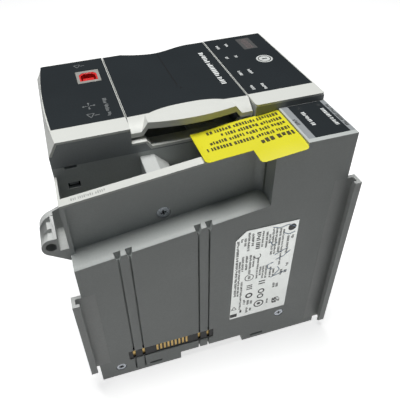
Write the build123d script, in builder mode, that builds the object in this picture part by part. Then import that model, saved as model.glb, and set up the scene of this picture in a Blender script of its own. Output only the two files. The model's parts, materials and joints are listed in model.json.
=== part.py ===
"""Rack-less PLC controller module, lying on its DIN-rail side with its front bezel up.

Frame: the origin is the middle of the DIN-rail channel's mouth, in the back plane.
+X runs to the module's top end, -Y to the side where the next module couples, +Z to the front.
"""
from build123d import *
import os

os.makedirs("parts", exist_ok=True)

# ---- driving dimensions, mm --------------------------------------------------------------
BODY_LENGTH = 120.0  # along X, between the two end walls
BODY_WIDTH = 98.1  # along Y, between the two side faces
BODY_DEPTH = 130.65  # along Z, back plane to bezel front
WALL = 2.0
COVER = 2.3  # thickness of the coupling-side cover
GAP = 0.3  # air between pieces that move past each other

END = BODY_LENGTH / 2
SIDE = BODY_WIDTH / 2
FRONT = BODY_DEPTH
INNER_SIDE = -SIDE + COVER  # inner face of the cover

# front block
SPINE_Y = -21.3  # face of the front block above the terminal bay
SEAM_Z = 118.6  # joint between the housing and the front housing
BEZEL = 1.0  # thickness of the bezel plates
LABEL = 0.35  # thickness of the printed overlays
LABEL_NEAR_Y = -11.5  # where the overlays stop and the pale lip starts
DOOR_X = (-26.0, 27.7)
SEAM_GAP = 0.35

# terminal bay and the stepped cover beside it
BAY_END_X = 25.0  # bay side of the power section
PANEL_Y = -38.2  # recessed panel above the shelf
PANEL_INNER_Y = PANEL_Y + WALL
FRAME_Y = -40.6  # raised frame round the recessed panel
SHELF_NEAR_Y = -46.9
SHELF_Z = 88.0  # shelf height at the bottom end
SHELF_RISE = 0.135  # rise per mm towards the top end
RIM_Z = 114.8  # bay rim height at the bottom end
RIM_RISE = 0.112
BAY_FLOOR_Z = 86.0

# power section
POWER_X = 38.3  # bottom-end edge of the power section's front
POWER_Z = 127.3  # its front face
POWER_PLATE = 1.5  # thickness of its front plate with the overlays
CAP = 1.0  # thickness of the pale rim on the slanted walls

# DIN rail seat
RAIL_HALF = 17.5
SEAT_Z = 5.5
BACK_Z = 7.5  # inner face of the back wall
BASE_Z = 11.2  # joint between the rear base and the housing

# coupling features on the side face
GROOVE_X = (-41.8, -36.9, -7.1, -2.2)
BUS_X = (-44.7, 0.6)
BUS_Z = (11.6, 18.9)
SIGNAL_PITCH = 1.96
SIGNAL_MIDDLE_X = -21.8
SIGNAL_COUNT = 9
SIDE_SCREWS = ((-49.5, 7.2), (37.8, 16.8))
PANEL_SCREW = (-19.0, 97.7)
SCREW_SEAT = 1.2  # depth of the counterbores
SCREW_SEATS = ((-SIDE, SIDE_SCREWS, 2.75), (PANEL_Y, (PANEL_SCREW,), 3.2))

# circuit boards
BOARD = 1.6
BOARD_Y = -40.0  # coupling-side face of the power board
POWER_BOARD_Y = (BOARD_Y, BOARD_Y + BOARD)
MAIN_BOARD_Y = (38.4, 40.0)
FRONT_BOARD_Z = (90.4, 92.0)
POWER_POSTS = ((-52.0, 30.0), (-52.0, 74.0), (52.0, 30.0), (52.0, 74.0))
MAIN_POSTS = ((-50.0, 16.0), (-50.0, 82.0), (50.0, 16.0), (50.0, 82.0))

# hinge of the front door
HINGE_Y = 46.3
HINGE_Z = 127.6
PIN_R = 0.9


def shelf_z(x):
    """Height of the slanted shelf at x."""
    return SHELF_Z + SHELF_RISE * (x + END)


def rim_z(x):
    """Height of the slanted bay rim at x."""
    return RIM_Z + RIM_RISE * (x + END)


def block(x, y, z, mode=Mode.ADD):
    """Box between the limits x, y and z, combined with the part in progress."""
    with Locations(((x[0] + x[1]) / 2, (y[0] + y[1]) / 2, (z[0] + z[1]) / 2)):
        Box(x[1] - x[0], y[1] - y[0], z[1] - z[0], mode=mode)


def side_prism(points, y, mode=Mode.ADD):
    """Polygon in the XZ plane, extruded between the two y limits."""
    with BuildSketch(Plane.XZ.offset(-y[1])) as outline:
        Polygon(*points, align=None)
    extrude(outline.sketch, amount=y[1] - y[0], mode=mode)


def finish(piece, name):
    """Label a finished piece and write its STEP file."""
    piece.part.label = name
    export_step(piece.part, f"parts/{name}.step")


# ---- rear base and main housing ----------------------------------------------------------
POWER_WALL_X = (BAY_END_X, BAY_END_X + WALL)
VENT_PITCH = 6.0
LATCH_HALF = 6.0
LATCH_Z = (1.4, 4.0)
BOSS_Y = (INNER_SIDE, INNER_SIDE + 14.0)

with BuildPart() as rear_base:
    block((-END, END), (INNER_SIDE, SIDE), (0, BASE_Z))
    block((-END + WALL, END - WALL), (INNER_SIDE, SIDE - WALL), (BACK_Z, BASE_Z), Mode.SUBTRACT)
    # DIN-rail channel across the back, and the pads' relief pockets from inside
    block((-RAIL_HALF, RAIL_HALF), (INNER_SIDE, SIDE), (0, SEAT_Z), Mode.SUBTRACT)
    for x in ((-END + WALL, -20.0), (20.0, END - WALL)):
        for y in ((INNER_SIDE, -9.0), (9.0, SIDE - WALL)):
            block(x, y, (WALL, BACK_Z), Mode.SUBTRACT)
    # latch tunnels
    for x in ((-END, -RAIL_HALF), (RAIL_HALF, END)):
        tunnel_y = (-LATCH_HALF - GAP, LATCH_HALF + GAP)
        block(x, tunnel_y, (LATCH_Z[0] - GAP, LATCH_Z[1] + GAP), Mode.SUBTRACT)
    # bosses on ribs for the side cover's screws
    for x, z in SIDE_SCREWS:
        block((x - 1.2, x + 1.2), BOSS_Y, (WALL / 2, z))
    with BuildSketch(Plane.XZ.offset(-BOSS_Y[0])):
        with Locations(*SIDE_SCREWS):
            Circle(3.6)
    extrude(amount=BOSS_Y[0] - BOSS_Y[1])
    with BuildSketch(Plane.XZ.offset(-BOSS_Y[0])):
        with Locations(*SIDE_SCREWS):
            Circle(1.25)
    extrude(amount=-10.0, mode=Mode.SUBTRACT)
finish(rear_base, "rear_base")

with BuildPart() as main_housing:
    block((-END, END), (INNER_SIDE, SIDE), (BASE_Z, SEAM_Z))
    # room for the terminal bay, open to the front and to the coupling side
    block((-END, BAY_END_X), (INNER_SIDE, SPINE_Y), (BAY_FLOOR_Z, SEAM_Z), Mode.SUBTRACT)
    # electronics space, open to the coupling side below the bay floor
    block((-END + WALL, END - WALL), (INNER_SIDE, SIDE - WALL), (BASE_Z, BAY_FLOOR_Z - WALL), Mode.SUBTRACT)
    block((-END + WALL, END - WALL), (SPINE_Y + WALL, SIDE - WALL), (BASE_Z, SEAM_Z), Mode.SUBTRACT)
    block((POWER_WALL_X[1], END - WALL), (INNER_SIDE, SPINE_Y), (BASE_Z, SEAM_Z), Mode.SUBTRACT)
    # the power section stands taller than the seam
    block((END - WALL, END), (INNER_SIDE, SPINE_Y - GAP), (SEAM_Z, POWER_Z - POWER_PLATE))
    side_prism(
        [
            (POWER_WALL_X[0], SEAM_Z),
            (POWER_WALL_X[1], SEAM_Z),
            (POWER_WALL_X[1], rim_z(POWER_WALL_X[1]) - CAP),
            (POWER_WALL_X[0], rim_z(POWER_WALL_X[0]) - CAP),
        ],
        (PANEL_INNER_Y, SPINE_Y - GAP),
    )
    # the cover brings its own end wall beside the shelf
    side_prism(
        [
            (POWER_WALL_X[0], shelf_z(POWER_WALL_X[0]) - WALL),
            (POWER_WALL_X[1], shelf_z(POWER_WALL_X[1]) - WALL),
            (POWER_WALL_X[1], SEAM_Z),
            (POWER_WALL_X[0], SEAM_Z),
        ],
        (INNER_SIDE, PANEL_INNER_Y),
        Mode.SUBTRACT,
    )
    # thin end wall of the bay
    block((-END, -END + 1.0), (PANEL_INNER_Y, SPINE_Y), (BAY_FLOOR_Z, RIM_Z - 1.0))
    # vent slots through both end walls
    for x in ((-END, -END + WALL), (END - WALL, END)):
        for row_z in (24.0, 46.0):
            for step in range(11):
                slot_y = -30.0 + VENT_PITCH * step
                block(x, (slot_y, slot_y + 2.6), (row_z, row_z + 14.0), Mode.SUBTRACT)
    # shallow vertical grooves and a vent field on the blind side
    for x in GROOVE_X:
        block((x - 0.4, x + 0.4), (SIDE - 0.8, SIDE), (BASE_Z, 84.0), Mode.SUBTRACT)
    for step in range(8):
        slot_x = 12.0 + VENT_PITCH * step - 6.0
        block((slot_x, slot_x + 2.6), (SIDE - WALL, SIDE), (92.0, 108.0), Mode.SUBTRACT)
    # cut-outs for the two network jacks in the bottom end
    for jack_y in (4.0, 22.0):
        block((-END, -END + WALL), (jack_y, jack_y + 16.0), (92.0, 105.6), Mode.SUBTRACT)
    # posts for the main board on the blind side
    with BuildSketch(Plane.XZ.offset(WALL - SIDE)):
        with Locations(*MAIN_POSTS):
            Circle(2.6)
    extrude(amount=SIDE - WALL - MAIN_BOARD_Y[1])
    with BuildSketch(Plane.XZ.offset(-MAIN_BOARD_Y[1])):
        with Locations(*MAIN_POSTS):
            Circle(1.25)
    extrude(amount=-5.5, mode=Mode.SUBTRACT)
    # slots in the bay floor for the header pins
    for slot_x in ((-53.0, -29.0), (-7.5, 21.5)):
        block(slot_x, (-31.0, -27.0), (BAY_FLOOR_Z - WALL, BAY_FLOOR_Z), Mode.SUBTRACT)
    # snap windows in the face above the bay
    block((-55.0, -50.0), (SPINE_Y, SPINE_Y + WALL), (107.2, 110.2), Mode.SUBTRACT)
    block((-55.0, -50.0), (SPINE_Y, SPINE_Y + WALL), (SEAM_Z - 1.2, SEAM_Z), Mode.SUBTRACT)
finish(main_housing, "main_housing")

# ---- coupling-side cover -----------------------------------------------------------------
FRAME_WIDTH = 1.8
FUNNEL_DEPTH = 4.3
RAIL_FLANGE = 0.8
UPPER_RAIL_Z = (4.0, 104.0)
LOWER_RAIL_Z = (14.0, 69.7)
RAIL_FLANGE_X = 54.0

with BuildPart() as expansion_side_cover:
    # side face: low beside the bay, full height at the power section
    side_prism(
        [
            (-END, 0),
            (END, 0),
            (END, POWER_Z),
            (POWER_X, POWER_Z),
            (POWER_X, rim_z(POWER_X)),
            (BAY_END_X, rim_z(BAY_END_X)),
            (BAY_END_X, shelf_z(BAY_END_X)),
            (-END, shelf_z(-END)),
        ],
        (-SIDE, INNER_SIDE),
    )
    # shelf and the recessed panel that stands on it
    shelf_line = [(-END, shelf_z(-END)), (BAY_END_X, shelf_z(BAY_END_X))]
    side_prism(
        [
            *shelf_line,
            (BAY_END_X, shelf_z(BAY_END_X) - WALL),
            (-END, shelf_z(-END) - WALL),
        ],
        (INNER_SIDE, PANEL_INNER_Y),
    )
    side_prism(
        [
            *shelf_line,
            (BAY_END_X, rim_z(BAY_END_X) - CAP),
            (-END, rim_z(-END) - CAP),
        ],
        (PANEL_Y, PANEL_INNER_Y),
    )
    # end wall between the recess and the power section
    side_prism(
        [
            (POWER_WALL_X[0], shelf_z(POWER_WALL_X[0]) - WALL),
            (POWER_WALL_X[1], shelf_z(POWER_WALL_X[1]) - WALL),
            (POWER_WALL_X[1], rim_z(POWER_WALL_X[1]) - CAP),
            (POWER_WALL_X[0], rim_z(POWER_WALL_X[0]) - CAP),
        ],
        (INNER_SIDE, PANEL_INNER_Y),
    )
    # rounded corner where the panel meets the end wall
    corner = Vector(BAY_END_X, PANEL_Y, (shelf_z(BAY_END_X) + rim_z(BAY_END_X)) / 2)
    fillet(expansion_side_cover.edges().sort_by_distance(corner)[0], radius=4.0)
    # raised frame along the panel's top and bottom-end edges
    side_prism(
        [
            (-END, rim_z(-END) - CAP),
            (BAY_END_X, rim_z(BAY_END_X) - CAP),
            (BAY_END_X, rim_z(BAY_END_X) - CAP - FRAME_WIDTH / 2),
            (-END, rim_z(-END) - CAP - FRAME_WIDTH / 2),
        ],
        (FRAME_Y, PANEL_Y),
    )
    side_prism(
        [
            (-END, shelf_z(-END)),
            (-END + FRAME_WIDTH, shelf_z(-END + FRAME_WIDTH)),
            (-END + FRAME_WIDTH, rim_z(-END + FRAME_WIDTH) - CAP),
            (-END, rim_z(-END) - CAP),
        ],
        (FRAME_Y, PANEL_Y),
    )
    # bevel along the shelf's outer edge
    shelf_middle = (BAY_END_X - END) / 2
    bevel_point = Vector(shelf_middle, -SIDE, shelf_z(shelf_middle))
    bevel_edge = expansion_side_cover.edges().sort_by_distance(bevel_point)[0]
    bevel_face = expansion_side_cover.faces().filter_by(Plane.XZ).sort_by(Axis.Y)[0]
    chamfer(bevel_edge, length=1.2, length2=SIDE + SHELF_NEAR_Y, reference=bevel_face)
    # grooves that guide the next module's power blades, with their lead-in funnels
    for x in GROOVE_X:
        foot_z = 2.5 if x < -RAIL_HALF else 0
        block((x - 0.4, x + 0.4), (-SIDE, -SIDE + 1.7), (foot_z, shelf_z(x) - 2.0), Mode.SUBTRACT)
        side_prism(
            [
                (x - 1.7, shelf_z(x) + 0.6),
                (x + 1.7, shelf_z(x) + 0.6),
                (x + 0.5, shelf_z(x) - FUNNEL_DEPTH),
                (x - 0.5, shelf_z(x) - FUNNEL_DEPTH),
            ],
            (-SIDE, SHELF_NEAR_Y),
            Mode.SUBTRACT,
        )
    # window of the bus connector, rail notch and two tooling slots
    block(BUS_X, (-SIDE, INNER_SIDE), BUS_Z, Mode.SUBTRACT)
    block((-RAIL_HALF, RAIL_HALF), (-SIDE, INNER_SIDE), (0, SEAT_Z), Mode.SUBTRACT)
    block((-34.5, -27.9), (-SIDE, -SIDE + 1.8), (2.8, 4.3), Mode.SUBTRACT)
    block((22.2, 29.4), (-SIDE, -SIDE + 1.8), (2.2, 3.7), Mode.SUBTRACT)
    # seats for the flanges of the two interlock rails
    for x, z in (((RAIL_FLANGE_X, END), UPPER_RAIL_Z), ((-END, -RAIL_FLANGE_X), LOWER_RAIL_Z)):
        block(x, (-SIDE, -SIDE + RAIL_FLANGE), z, Mode.SUBTRACT)
    # posts for the power board
    with BuildSketch(Plane.XZ.offset(-INNER_SIDE)):
        with Locations(*POWER_POSTS):
            Circle(2.6)
    extrude(amount=-(BOARD_Y - INNER_SIDE))
    with BuildSketch(Plane.XZ.offset(-BOARD_Y)):
        with Locations(*POWER_POSTS):
            Circle(1.25)
    extrude(amount=5.5, mode=Mode.SUBTRACT)
    # counterbored screw holes
    for plane_y, places, bore_r in SCREW_SEATS:
        with BuildSketch(Plane.XZ.offset(-plane_y)):
            with Locations(*places):
                Circle(bore_r)
        extrude(amount=-SCREW_SEAT, mode=Mode.SUBTRACT)
        with BuildSketch(Plane.XZ.offset(-plane_y)):
            with Locations(*places):
                Circle(1.6)
        extrude(amount=-COVER, mode=Mode.SUBTRACT)
finish(expansion_side_cover, "expansion_side_cover")

# pale rim that caps the bay's walls
with BuildPart() as bay_rim:
    side_prism(
        [
            (-END, rim_z(-END) - CAP),
            (BAY_END_X, rim_z(BAY_END_X) - CAP),
            (BAY_END_X, rim_z(BAY_END_X)),
            (-END, rim_z(-END)),
        ],
        (FRAME_Y, PANEL_INNER_Y),
    )
    block((-END, -END + 1.0), (PANEL_INNER_Y, SPINE_Y - GAP), (RIM_Z - 1.0, RIM_Z))
finish(bay_rim, "bay_rim")

# divider between the two plug bays, with a sloped flank
DIVIDER_X = (-23.8, -17.7)
DIVIDER_Z = 116.5
with BuildPart() as bay_divider:
    side_prism(
        [
            (DIVIDER_X[0], BAY_FLOOR_Z),
            (DIVIDER_X[0], DIVIDER_Z),
            (DIVIDER_X[1], DIVIDER_Z),
            (DIVIDER_X[1] + 6.0, DIVIDER_Z - 6.0),
            (DIVIDER_X[1] + 6.0, BAY_FLOOR_Z),
        ],
        (PANEL_INNER_Y, SPINE_Y),
    )
    top_edges = bay_divider.edges().filter_by(Axis.Y).group_by(Axis.Z)[-1]
    fillet(top_edges, radius=0.6)
    with BuildSketch(Plane.XZ.offset(-PANEL_INNER_Y)):
        with Locations(PANEL_SCREW):
            Circle(1.25)
    extrude(amount=-10.0, mode=Mode.SUBTRACT)
finish(bay_divider, "bay_divider")

# ---- interlock rails and the plug hinge hook ---------------------------------------------
RAIL_OUT = END + 4.4
RAIL_LIP_Y = -SIDE - 4.3
RAIL_WALL = 1.6
RAIL_PROFILE = [
    (RAIL_FLANGE_X, -SIDE),
    (RAIL_FLANGE_X, -SIDE + RAIL_FLANGE),
    (END, -SIDE + RAIL_FLANGE),
    (END, -SIDE + 1.7),
    (RAIL_OUT, -SIDE + 1.7),
    (RAIL_OUT, RAIL_LIP_Y),
    (RAIL_OUT - 3.2, RAIL_LIP_Y),
    (RAIL_OUT - 3.2, RAIL_LIP_Y + RAIL_WALL),
    (RAIL_OUT - RAIL_WALL, RAIL_LIP_Y + RAIL_WALL),
    (RAIL_OUT - RAIL_WALL, -SIDE),
]
for name, direction, (low_z, high_z) in (
    ("upper_interlock_rail", 1, UPPER_RAIL_Z),
    ("lower_interlock_rail", -1, LOWER_RAIL_Z),
):
    with BuildPart() as rail:
        with BuildSketch(Plane.XY.offset(low_z)):
            Polygon(*[(direction * x, y) for x, y in RAIL_PROFILE], align=None)
        extrude(amount=high_z - low_z)
        # the foot of the lip is cut at an angle
        foot_edge = rail.edges().filter_by(Axis.X).group_by(Axis.Y)[0].sort_by(Axis.Z)[0]
        chamfer(foot_edge, length=1.2)
    finish(rail, name)

HOOK_Y = (-38.0, -25.5)
HOOK_WALL = 1.5
HOOK_POCKET_X = -63.9
HOOK_LOBES = (  # near face, top of the lobe's round end, its outermost point, height at the end wall
    (-38.0, (-67.4, 96.4), (-71.0, 92.4), 96.4),
    (-33.4, (-67.1, 98.3), (-70.0, 94.6), 98.9),
    (-28.8, (-66.1, 100.9), (-69.7, 97.2), 103.3),
)
with BuildPart() as plug_hook:
    # three lobes stepping back and up from the coupling side
    for near_y, top_corner, nose, wall_top in HOOK_LOBES:
        with BuildSketch(Plane.XZ.offset(-HOOK_Y[1])):
            with BuildLine():
                Line((-END, 81.8), (-68.4, 87.8))
                ThreePointArc((-68.4, 87.8), nose, top_corner)
                Line(top_corner, (-END, wall_top))
                Line((-END, wall_top), (-END, 81.8))
            make_face()
        extrude(amount=HOOK_Y[1] - near_y)
    # rib between the lobes and the pocket
    with BuildSketch(Plane.YZ.offset(HOOK_POCKET_X - HOOK_WALL)):
        Polygon((-38.0, 90.0), (-28.0, 90.0), (-28.0, 101.6), (-38.0, 96.4), align=None)
    extrude(amount=HOOK_WALL)
    # pocket beside the end wall, open to the front
    with BuildSketch(Plane.YZ.offset(HOOK_POCKET_X)):
        Polygon((-38.0, 89.4), (-27.0, 92.0), (-27.0, 105.0), (-38.0, 105.0), align=None)
    extrude(amount=-END - HOOK_POCKET_X, mode=Mode.SUBTRACT)
    # scoop in the near lobe
    with BuildSketch(Plane.XZ.offset(-HOOK_Y[0])):
        with Locations((-67.0, 92.2)):
            Circle(2.3)
    extrude(amount=-5.0, mode=Mode.SUBTRACT)
finish(plug_hook, "plug_hook")

# ---- front housing -----------------------------------------------------------------------
SLOPE_Z = 124.4  # where the lower bezel's sloped end begins
BEZEL_UNDER_Z = FRONT - BEZEL
DOOR_WALL_X = (DOOR_X[0] - SEAM_GAP - WALL, DOOR_X[1] + SEAM_GAP + WALL)
LOWER_EDGE_X = DOOR_X[0] - SEAM_GAP
UPPER_EDGE_X = DOOR_X[1] + SEAM_GAP
LEDGE_Z = 123.4  # ledges beside the finger scoop
SCOOP_Z = 120.5  # rim of the scoop
SCOOP_X = (-17.9, 19.5)
SCOOP_RUN = 2.1  # how far the scoop's sides lean outwards
SCOOP_SKIN = 0.8
SCOOP_FOOT_Z = 119.2  # where the scoop piece sits on the front housing
scoop_foot = [
    (LOWER_EDGE_X, LEDGE_Z - SCOOP_SKIN),
    (SCOOP_X[0] - SCOOP_RUN - 0.6, LEDGE_Z - SCOOP_SKIN),
    (SCOOP_X[0] - 0.6, SCOOP_FOOT_Z),
    (SCOOP_X[1] + 0.6, SCOOP_FOOT_Z),
    (SCOOP_X[1] + SCOOP_RUN + 0.6, LEDGE_Z - SCOOP_SKIN),
    (UPPER_EDGE_X, LEDGE_Z - SCOOP_SKIN),
]
DOOR_REAR_WALL_Z = 123.5

with BuildPart() as front_housing:
    # face above the bay, cut away under the finger scoop
    side_prism(
        [
            (-END, SEAM_Z),
            (-END, SLOPE_Z),
            (-END + 1.2, SLOPE_Z),
            (-END + 4.3, BEZEL_UNDER_Z),
            (LOWER_EDGE_X, BEZEL_UNDER_Z),
            *scoop_foot,
            (UPPER_EDGE_X, BEZEL_UNDER_Z),
            (END, BEZEL_UNDER_Z),
            (END, SEAM_Z),
        ],
        (SPINE_Y, SPINE_Y + WALL),
    )
    # blind-side wall, low behind the door so that the door can swing
    side_prism(
        [
            (-END, SEAM_Z),
            (-END, SLOPE_Z),
            (-END + 1.2, SLOPE_Z),
            (-END + 4.3, BEZEL_UNDER_Z),
            (LOWER_EDGE_X, BEZEL_UNDER_Z),
            (LOWER_EDGE_X, DOOR_REAR_WALL_Z),
            (UPPER_EDGE_X, DOOR_REAR_WALL_Z),
            (UPPER_EDGE_X, BEZEL_UNDER_Z),
            (END, BEZEL_UNDER_Z),
            (END, SEAM_Z),
        ],
        (SIDE - WALL, SIDE),
    )
    block((-END, -END + 1.2), (SPINE_Y, SIDE), (SEAM_Z, SLOPE_Z))
    block((END - WALL, END), (SPINE_Y, SIDE), (SEAM_Z, BEZEL_UNDER_Z))
    # walls on both sides of the door, with the hinge pins' bores
    block((DOOR_WALL_X[0], LOWER_EDGE_X), (SPINE_Y, SIDE), (SEAM_Z, BEZEL_UNDER_Z))
    block((UPPER_EDGE_X, DOOR_WALL_X[1]), (SPINE_Y, SIDE), (SEAM_Z, BEZEL_UNDER_Z))
    with BuildSketch(Plane.YZ.offset(DOOR_WALL_X[0])):
        with Locations((HINGE_Y, HINGE_Z)):
            Circle(PIN_R)
    extrude(amount=DOOR_WALL_X[1] - DOOR_WALL_X[0], mode=Mode.SUBTRACT)
    # snap tongue that catches in the housing's lower window
    block((-54.5, -50.5), (SPINE_Y + WALL, SPINE_Y + WALL + 1.0), (107.4, SLOPE_Z - 2.0))
    block((-54.2, -50.8), (SPINE_Y + 1.1, SPINE_Y + WALL), (108.4, 109.9))
finish(front_housing, "front_housing")

# ---- bezel plates, their overlays and what shows through them ----------------------------
BOW = 2.3  # how far the bottom end of the bezel bows out
BEZEL_END_X = -END + 3.5
LABEL_Z = FRONT - LABEL
LABEL_FAR_Y = SIDE - 0.3
USB_AT = (-35.8, 31.0)
USB_SIZE = (11.1, 12.5)
WINDOW_X = (44.8, 52.2)
WINDOW_Y = (32.0, 45.5)
BADGE_AT = (49.8, 18.8)
BADGE_R = 4.05
STATUS_X = (33.0, 38.0)
STATUS_Y = (40.0, 26.0, 8.6, -6.5)


def bowed_outline(edge_x, right_x, y, bow):
    """Outline in the XY plane with a straight far side and a bowed bottom-end edge."""
    with BuildLine() as outline:
        ThreePointArc((edge_x, y[0]), (edge_x - bow, (y[0] + y[1]) / 2), (edge_x, y[1]))
        Polyline((edge_x, y[1]), (right_x, y[1]), (right_x, y[0]), (edge_x, y[0]))
    return outline.line


with BuildPart() as bezel_lower:
    with BuildSketch(Plane.XY.offset(SLOPE_Z)) as foot:
        add(bowed_outline(-END, LOWER_EDGE_X, (SPINE_Y, SIDE), 0.05))
        make_face()
    with BuildSketch(Plane.XY.offset(FRONT)) as head:
        add(bowed_outline(BEZEL_END_X, LOWER_EDGE_X, (SPINE_Y, SIDE), BOW))
        make_face()
    loft()
    with BuildSketch(Plane.XY.offset(SLOPE_Z)) as hollow_foot:
        add(bowed_outline(-END + 1.2, LOWER_EDGE_X + 1, (SPINE_Y - 1, SIDE + 1), 0.05))
        make_face()
    with BuildSketch(Plane.XY.offset(BEZEL_UNDER_Z)) as hollow_head:
        add(bowed_outline(BEZEL_END_X + 0.8, LOWER_EDGE_X + 1, (SPINE_Y - 1, SIDE + 1), BOW))
        make_face()
    loft(mode=Mode.SUBTRACT)
    # label seat and the opening for the port
    with BuildSketch(Plane.XY.offset(LABEL_Z)):
        add(bowed_outline(BEZEL_END_X - 0.6, LOWER_EDGE_X - 0.3, (LABEL_NEAR_Y, LABEL_FAR_Y), BOW - 0.9))
        make_face()
    extrude(amount=LABEL, mode=Mode.SUBTRACT)
    with BuildSketch(Plane.XY.offset(BEZEL_UNDER_Z - GAP)):
        with Locations(USB_AT):
            Rectangle(USB_SIZE[0] + 0.4, USB_SIZE[1] + 0.4)
    extrude(amount=BEZEL + GAP, mode=Mode.SUBTRACT)
finish(bezel_lower, "bezel_lower")

with BuildPart() as bezel_lower_label:
    with BuildSketch(Plane.XY.offset(LABEL_Z)):
        label_y = (LABEL_NEAR_Y + 0.05, LABEL_FAR_Y - 0.05)
        add(bowed_outline(BEZEL_END_X - 0.55, LOWER_EDGE_X - 0.35, label_y, BOW - 0.9))
        make_face()
        with Locations(USB_AT):
            Rectangle(USB_SIZE[0] + 0.4, USB_SIZE[1] + 0.4, mode=Mode.SUBTRACT)
    extrude(amount=LABEL)
finish(bezel_lower_label, "bezel_lower_label")

upper_label_middle = ((UPPER_EDGE_X + END) / 2 - 0.15, (LABEL_NEAR_Y + LABEL_FAR_Y) / 2)
upper_label_size = (END - UPPER_EDGE_X - 0.8, LABEL_FAR_Y - LABEL_NEAR_Y)
window_middle = (sum(WINDOW_X) / 2, sum(WINDOW_Y) / 2)
window_size = (WINDOW_X[1] - WINDOW_X[0], WINDOW_Y[1] - WINDOW_Y[0])
status_places = [(x, y) for x in STATUS_X for y in STATUS_Y]

with BuildPart() as bezel_upper:
    block((UPPER_EDGE_X, END), (SPINE_Y, SIDE), (BEZEL_UNDER_Z, FRONT))
    end_edges = bezel_upper.edges().filter_by(Axis.Z).group_by(Axis.X)[-1]
    fillet(end_edges, radius=0.8)
    near_corner = bezel_upper.edges().filter_by(Axis.Z).group_by(Axis.X)[0].sort_by(Axis.Y)[0]
    fillet(near_corner, radius=1.2)
    with BuildSketch(Plane.XY.offset(LABEL_Z)):
        with Locations(upper_label_middle):
            Rectangle(*upper_label_size)
    extrude(amount=LABEL, mode=Mode.SUBTRACT)
    with BuildSketch(Plane.XY.offset(BEZEL_UNDER_Z)):
        with Locations(window_middle):
            Rectangle(*window_size)
        with Locations(*status_places):
            Circle(0.8)
    extrude(amount=BEZEL, mode=Mode.SUBTRACT)
finish(bezel_upper, "bezel_upper")

with BuildPart() as bezel_upper_label:
    with BuildSketch(Plane.XY.offset(LABEL_Z)):
        with Locations(upper_label_middle):
            Rectangle(upper_label_size[0] - 0.1, upper_label_size[1] - 0.1)
        with Locations(window_middle):
            Rectangle(*window_size, mode=Mode.SUBTRACT)
        with Locations(*status_places):
            Circle(0.8, mode=Mode.SUBTRACT)
    extrude(amount=LABEL)
    with BuildSketch(Plane.XY.offset(FRONT)):
        with Locations(BADGE_AT):
            Circle(BADGE_R)
    extrude(amount=-0.2, mode=Mode.SUBTRACT)
finish(bezel_upper_label, "bezel_upper_label")

with BuildPart() as round_badge:
    with BuildSketch(Plane.XY.offset(FRONT - 0.2)):
        with Locations(BADGE_AT):
            Circle(BADGE_R)
    extrude(amount=0.2)
finish(round_badge, "round_badge")

with BuildPart() as display_window:
    with BuildSketch(Plane.XY.offset(BEZEL_UNDER_Z)):
        with Locations(window_middle):
            Rectangle(*window_size)
    extrude(amount=BEZEL - 0.1)
finish(display_window, "display_window")

with BuildPart() as display_module:
    block((43.4, 53.6), (30.4, 47.0), (112.0, BEZEL_UNDER_Z))
    with BuildSketch(Plane.XY.offset(BEZEL_UNDER_Z)):
        with Locations((window_middle[0], window_middle[1])):
            Rectangle(window_size[0], window_size[1])
    extrude(amount=-0.6, mode=Mode.SUBTRACT)
    # four legs down to the front board
    with BuildSketch(Plane.XY.offset(112.0)):
        with Locations((48.5, 34.0)):
            with GridLocations(8.0, 3.6, 2, 2):
                Circle(0.5)
    extrude(amount=FRONT_BOARD_Z[1] - 112.0)
finish(display_module, "display_module")

with BuildPart() as status_light_pipes:
    with BuildSketch(Plane.XY.offset(BEZEL_UNDER_Z)):
        with Locations(*status_places):
            Circle(0.8)
    extrude(amount=BEZEL - 0.05)
    with BuildSketch(Plane.XY.offset(BEZEL_UNDER_Z)):
        with Locations(*status_places):
            Circle(1.1)
    extrude(amount=-9.0)
finish(status_light_pipes, "status_light_pipes")

# ---- door over the controls --------------------------------------------------------------
DOOR_PLATE = 2.3
DOOR_LIP = 0.7  # extra thickness along the front edge, for the finger
DOOR_SKIN = 2.0  # thickness of the cheeks and flanks
CHEEK_Y = (-18.9, -13.2)  # front edge of the sloping cheeks, and where they start
CHEEK_Z = 126.65  # height of the cheeks' front edge
CHEEK_FOOT_Z = CHEEK_Z - DOOR_SKIN
FLANK_X = (-18.5, 19.8)  # edges of the raised band between the cheeks
FLANK_LEAN = 0.75  # how far the band's flanks run outwards per mm down
BAND_MIDDLE = (0.7, -21.1)  # furthest point of the band's bowed front edge
DOOR_FAR_Y = 48.6
BARREL_R = 2.2
BARREL_LENGTH = 6.0
BARREL_X = (DOOR_X[0] + 0.4, DOOR_X[1] - 0.4 - BARREL_LENGTH)
DOOR_FAR_CURVE = [(18.3, DOOR_FAR_Y), (12.8, 47.6), (0.7, 44.4), (-8.0, 45.5), (-16.7, DOOR_FAR_Y)]
LABEL_NEAR_CURVE = [(-16.5, -11.9), (-9.1, -9.5), (1.0, -8.7), (9.0, -9.1), (17.0, -11.7)]
LABEL_FRONT_Y = -12.1
DOOR_BORDER = 0.2  # pale border left around the overlay


def flank_x(z, inward):
    """Both flanks' x at height z, moved towards the middle of the door by inward."""
    lean = FLANK_LEAN * (FRONT - z)
    return FLANK_X[0] - lean + inward, FLANK_X[1] + lean - inward


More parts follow.
